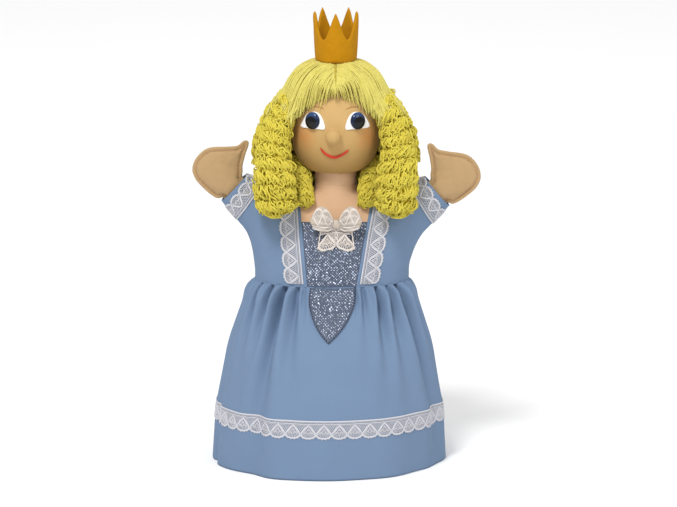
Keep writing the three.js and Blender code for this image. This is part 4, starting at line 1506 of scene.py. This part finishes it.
class Curl:
    """A fluffy ringlet: bands wound round its spine, each made of short strands that arch across it"""

    def __init__(self, side, radius, first_node, route):
        self.side, self.radius = side, radius
        self.random = np.random.default_rng(100 + first_node * 7 + side)
        self.spine, self.length = by_length(smooth_curve(np.array(route) * [side, 1, 1], 80), SPINE_STEP)
        self.tangent, self.a, self.b = frames_along(self.spine)
        self.band = 0.42 * radius + 2.4
        self.bulge = 0.17 * radius
        self.turns = self.length / self.band
        self.start = self.random.uniform(0, 2 * np.pi)

    def outside(self, share):
        """The radius under the strands at a share of the length"""
        swell = np.interp(share, SWELL_AT, LONG_SWELL if self.radius > 8 else SHORT_SWELL)
        return (self.radius - self.bulge) * swell * np.sqrt(np.clip((1.02 - share) / 0.1, 0, 1)) ** 0.8

    def on_spine(self, along):
        """The step of the spine and the point on it at a distance from its start"""
        k = np.clip(along / SPINE_STEP, 0, len(self.spine) - 1.001)
        i = k.astype(int)
        return i, self.spine[i] + (self.spine[i + 1] - self.spine[i]) * (k - i)[:, None]

    def strand_places(self):
        """Where the strands cross the spine, as shares of its length: closer together where it is wide"""
        found = [0.0]
        while found[-1] < 1:
            wide = 0.55 + 0.45 * math.sin(math.pi * min(1, found[-1] * 1.1)) ** 0.6
            found.append(found[-1] + STRAND_SPACING / (2 * math.pi * self.radius * wide * self.turns))
        return found[:-1]

    def band_strand(self, share):
        """A strand that arches across its band from edge to edge; a few stand out further"""
        random, v = self.random, np.linspace(-1, 1, 8)
        start, winding = self.start, 2 * np.pi * self.turns * share
        phase = self.side * (start + winding) + 0.3 * math.sin(9 * share + start)
        tuft = math.sin(4.3 * phase + 11 * share + start) + math.sin(2.7 * phase - 17 * share)
        stray = 1.6 if random.random() < 0.04 else 1
        high = self.bulge * (1 + 0.22 * tuft) * random.uniform(0.8, 1.15) * stray
        lean = self.side * (random.normal(0.6, 0.35) + 0.3 * math.sin(6.1 * phase)) * self.band * 0.5
        along = share * self.length + v * self.band * random.uniform(0.5, 0.62) + random.normal(0, 0.5)
        i, centre = self.on_spine(along)
        base = self.outside(np.clip(along / self.length, 0, 1))
        waver = random.uniform(-0.1, 0.1) * np.cos(v * random.uniform(2, 4))
        turn = phase + lean * v / np.maximum(base, 4) + waver + 0.03 * random.normal(size=len(v))
        reach = np.maximum(base + high * (1 - v**2) - 0.5, 0.5)[:, None]
        path = centre + reach * (self.a[i] * np.cos(turn)[:, None] + self.b[i] * np.sin(turn)[:, None])
        return tube(path, random.uniform(0.45, 0.66) * (1 - 0.3 * v**2), **CURL_YARN)

    def loose_curl(self):
        """A small open curl that stands on the outside"""
        random = self.random
        share = random.uniform(0.04, 0.97)
        phase = random.uniform(0, 2 * np.pi)
        i = int(share * (len(self.spine) - 1))
        out = self.a[i] * math.cos(phase) + self.b[i] * math.sin(phase)
        around = np.cross(self.tangent[i], out)
        size = random.uniform(1.1, 2.3)
        sweep = np.linspace(0, random.uniform(0.9, 1.5) * math.pi, 9) + random.uniform(0, 2 * math.pi)
        middle = self.spine[i] + out * (self.outside(share) + 0.75 * self.bulge)
        path = middle + size * (np.cos(sweep)[:, None] * around + np.sin(sweep)[:, None] * self.tangent[i])
        path = path + out * (0.9 * np.sin(np.linspace(0, math.pi, 9)) - 0.3)[:, None]
        return tube(path, random.uniform(0.34, 0.52), **CURL_YARN)

    def core(self):
        """The grooved middle that fills the curl"""
        inner, _ = by_length(self.spine[2:-3], 1.6)
        radius = np.maximum(self.outside(np.linspace(0, 1, len(inner))) - 0.2, 0.8)
        return tube(inner, radius, sides=22, lobes=11, lobe_depth=0.06, twist=0.3)


def build_ringlet(name, side, radius, nodes, route):
    curl = Curl(side, radius, nodes[0], route)
    strands = Pile()
    for share in curl.strand_places():
        strands.add(*curl.band_strand(share))
    for _ in range(int(LOOSE_CURLS * curl.length * radius)):
        strands.add(*curl.loose_curl())
    strands = strands.make(f"{name}_ringlet_{nodes[0]}_strands", yarn)
    # The core is a darker yarn, as painted shade seen between the strands
    core = make(f"{name}_ringlet_{nodes[0]}_core", *curl.core(), yarn_shadow)
    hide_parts(*(f"{name}_ringlet_{n}" for n in nodes))
    # The strands and the core ride on no body; they are baked into the frame
    for thing in (strands, core):
        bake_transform(thing)


build_cap()
for name, side in SIDES.items():
    build_hair_base(name, side)
stitches("parting_stitches", dome(parting(200), -0.1), yarn_shadow, "head",
         stitch=2.4, gap=1.0, radius=0.22)
build_nape()
for name, side in SIDES.items():
    for row in RINGLETS:
        build_ringlet(name, side, *row)


# ---------------- crown
CROWN_POINTS = 5
CROWN_BAND = 15.0  # height of the band below the points
CROWN_RADIUS, CROWN_FLARE = 12.2, 2.0
CROWN_EDGE = 0.8  # the felt thins over this much along its edges


def build_crown():
    """A wall of felt whose top rises in points, as rings of points up its outside and down its inside"""
    columns, steps = 300, 26
    height = TOP_Z - CROWN_FOOT_Z
    u = np.arange(columns) / columns
    from_tip = np.abs((u * CROWN_POINTS) % 1 - 0.5) * 2
    top = CROWN_BAND + (height - CROWN_BAND) * (1 - np.sin(from_tip * np.pi / 2) ** 1.3)
    angle = u * 2 * np.pi - np.pi / 2 - np.pi / CROWN_POINTS
    up = np.linspace(0, 1, steps)
    rows = []
    for face, share in [(1, v) for v in up] + [(-1, v) for v in up[::-1]]:
        z = share * top
        to_edge = np.clip(np.minimum(z, top - z) / CROWN_EDGE, 0, 1)
        half = 0.9 * np.sqrt(1 - (1 - to_edge) ** 2) + 0.03
        sway = 0.25 * np.sin(angle * 3 + 1) + 0.12 * np.sin(angle * 8 + z * 0.2)
        r = CROWN_RADIUS + CROWN_FLARE * z / height + sway + face * half
        rows.append(np.stack([r * np.cos(angle), r * np.sin(angle), CROWN_FOOT_Z + z], 1))
    faces = grid_faces(columns, 2 * steps, ring_u=True, ring_v=True)
    enter(make("crown_wall", np.concatenate(rows), faces, crown_felt), ["crown"], "head")


build_crown()


# ---------------- CAD nodes that stay
def give_look(node, look):
    """Gives a CAD node that is kept a material of this file"""
    for slot in bpy.data.objects[node].material_slots:
        slot.material = look.material


give_look("head_core",
          felted("pressed_core", (0.30, 0.24, 0.17), fibre=0.9, contrast=0.25, depth=0.3, sheen=0.0))
give_look("finger_tube",
          felted("grey_card", (0.36, 0.30, 0.22), fibre=0.6, contrast=0.2, depth=0.12, sheen=0.0))


# ---------------- the skirt and the glitter point, baked into the frame
for thing in (skirt, *point_pieces):
    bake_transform(thing)


# ---------------- sheets of cloth
# Each cut piece of cloth, in metres before sewing: its name, width and length, flat area where it isn't a
# rectangle, how it is held, and what holds it
SHEETS = [
    ("skirt", (0.46, 0.125), None, "gathered", "bodice_back_panel"),
    ("hem_fold_inside", (0.46, 0.0195), None, "stretched", "skirt"),
    ("lace_round_hem", (0.455, 0.0123), None, "stretched", "skirt"),
    ("bodice_back_panel", (0.046, 0.054), 0.0022, "stretched", "chest_and_neck_skin"),
    ("glitter_insert_cloth", (0.042, 0.042), 0.0016, "stretched", "chest_and_neck_skin"),
    ("glitter_point_cloth", (0.030, 0.034), 0.00072, "stretched", "skirt"),
    ("chest_and_neck_skin", (0.060, 0.042), 0.0019, "stretched", "neck_top_skin"),
    ("neck_top_skin", (0.084, 0.0105), None, "stretched", "head_core"),
    ("crown_wall", (0.092, 0.0324), 0.0019, "folded", "hair_cap_strands"),
]
for name in SIDES:
    SHEETS += [
        (f"{name}_bodice_and_sleeve", (0.115, 0.085), 0.0063, "stretched", "chest_and_neck_skin"),
        (f"{name}_bodice_lace_strip", (0.052, 0.0116), None, "stretched", f"{name}_bodice_and_sleeve"),
        (f"{name}_cuff_lace_strip", (0.072, 0.0123), None, "stretched", f"{name}_bodice_and_sleeve"),
        (f"{name}_bow_loop_cloth", (0.016, 0.017), 0.00021, "folded", "bow_knot_threads"),
        (f"{name}_bow_tail_lace", (0.0115, 0.0145), None, "hung", "bow_knot_threads"),
        (f"{name}_eye_white_felt", (0.0156, 0.011), 0.00014, "laid", "head_skin"),
        (f"{name}_hand_front_felt", (0.039, 0.042), 0.001, "stretched", f"{name}_bodice_and_sleeve"),
        (f"{name}_hand_back_felt", (0.039, 0.042), 0.001, "stretched", f"{name}_bodice_and_sleeve"),
    ]


# ---------------- floor, light and camera
def build_floor():
    mesh = bpy.data.meshes.new("floor")
    mesh.from_pydata([(-5, -3, 0), (5, -3, 0), (5, 6, 0), (-5, 6, 0)], [], [(0, 1, 2, 3)])
    mesh.materials.append(Look("floor_paper", (0.93, 0.93, 0.93), 0.8).material)
    floor = bpy.data.objects.new("floor", mesh)
    bpy.context.scene.collection.objects.link(floor)


def area_light(name, place, aim, size, power):
    data = bpy.data.lights.new(name, "AREA")
    data.shape, data.size, data.energy = "DISK", size, power
    light = bpy.data.objects.new(name, data)
    bpy.context.scene.collection.objects.link(light)
    light.location = place
    light.rotation_euler = (Vector(aim) - Vector(place)).to_track_quat("-Z", "Y").to_euler()


def light_scene():
    world = bpy.data.worlds.new("studio")
    bpy.context.scene.world = world
    world.use_nodes = True
    background = world.node_tree.nodes["Background"]
    background.inputs["Color"].default_value = (1, 1, 1, 1)
    background.inputs["Strength"].default_value = 0.72
    area_light("key", (-0.6, -1.4, 2.2), (0, 0, 0.15), 0.7, 42)
    area_light("fill", (1.3, -1.2, 1.3), (0, 0, 0.15), 0.9, 7)
    area_light("backdrop", (0, 1.6, 1.5), (0, 1.6, 0), 1.5, 5)


CAMERA_AIM = Vector((0.0018, 0, 0.133))
CAMERA_DISTANCE, CAMERA_RISE = 4.0, math.radians(11.5)


def place_camera():
    """A far camera with a long lens that looks down a little, as in the photograph"""
    data = bpy.data.cameras.new("camera")
    data.sensor_width, data.lens = 36, 332
    data.clip_end = 50
    camera = bpy.data.objects.new("camera", data)
    bpy.context.scene.collection.objects.link(camera)
    away = Vector((0, -math.cos(CAMERA_RISE), math.sin(CAMERA_RISE)))
    camera.location = CAMERA_AIM + CAMERA_DISTANCE * away
    camera.rotation_euler = (CAMERA_AIM - camera.location).to_track_quat("-Z", "Y").to_euler()
    bpy.context.scene.camera = camera


build_floor()
light_scene()
place_camera()
bpy.context.scene.view_settings.view_transform = "Standard"
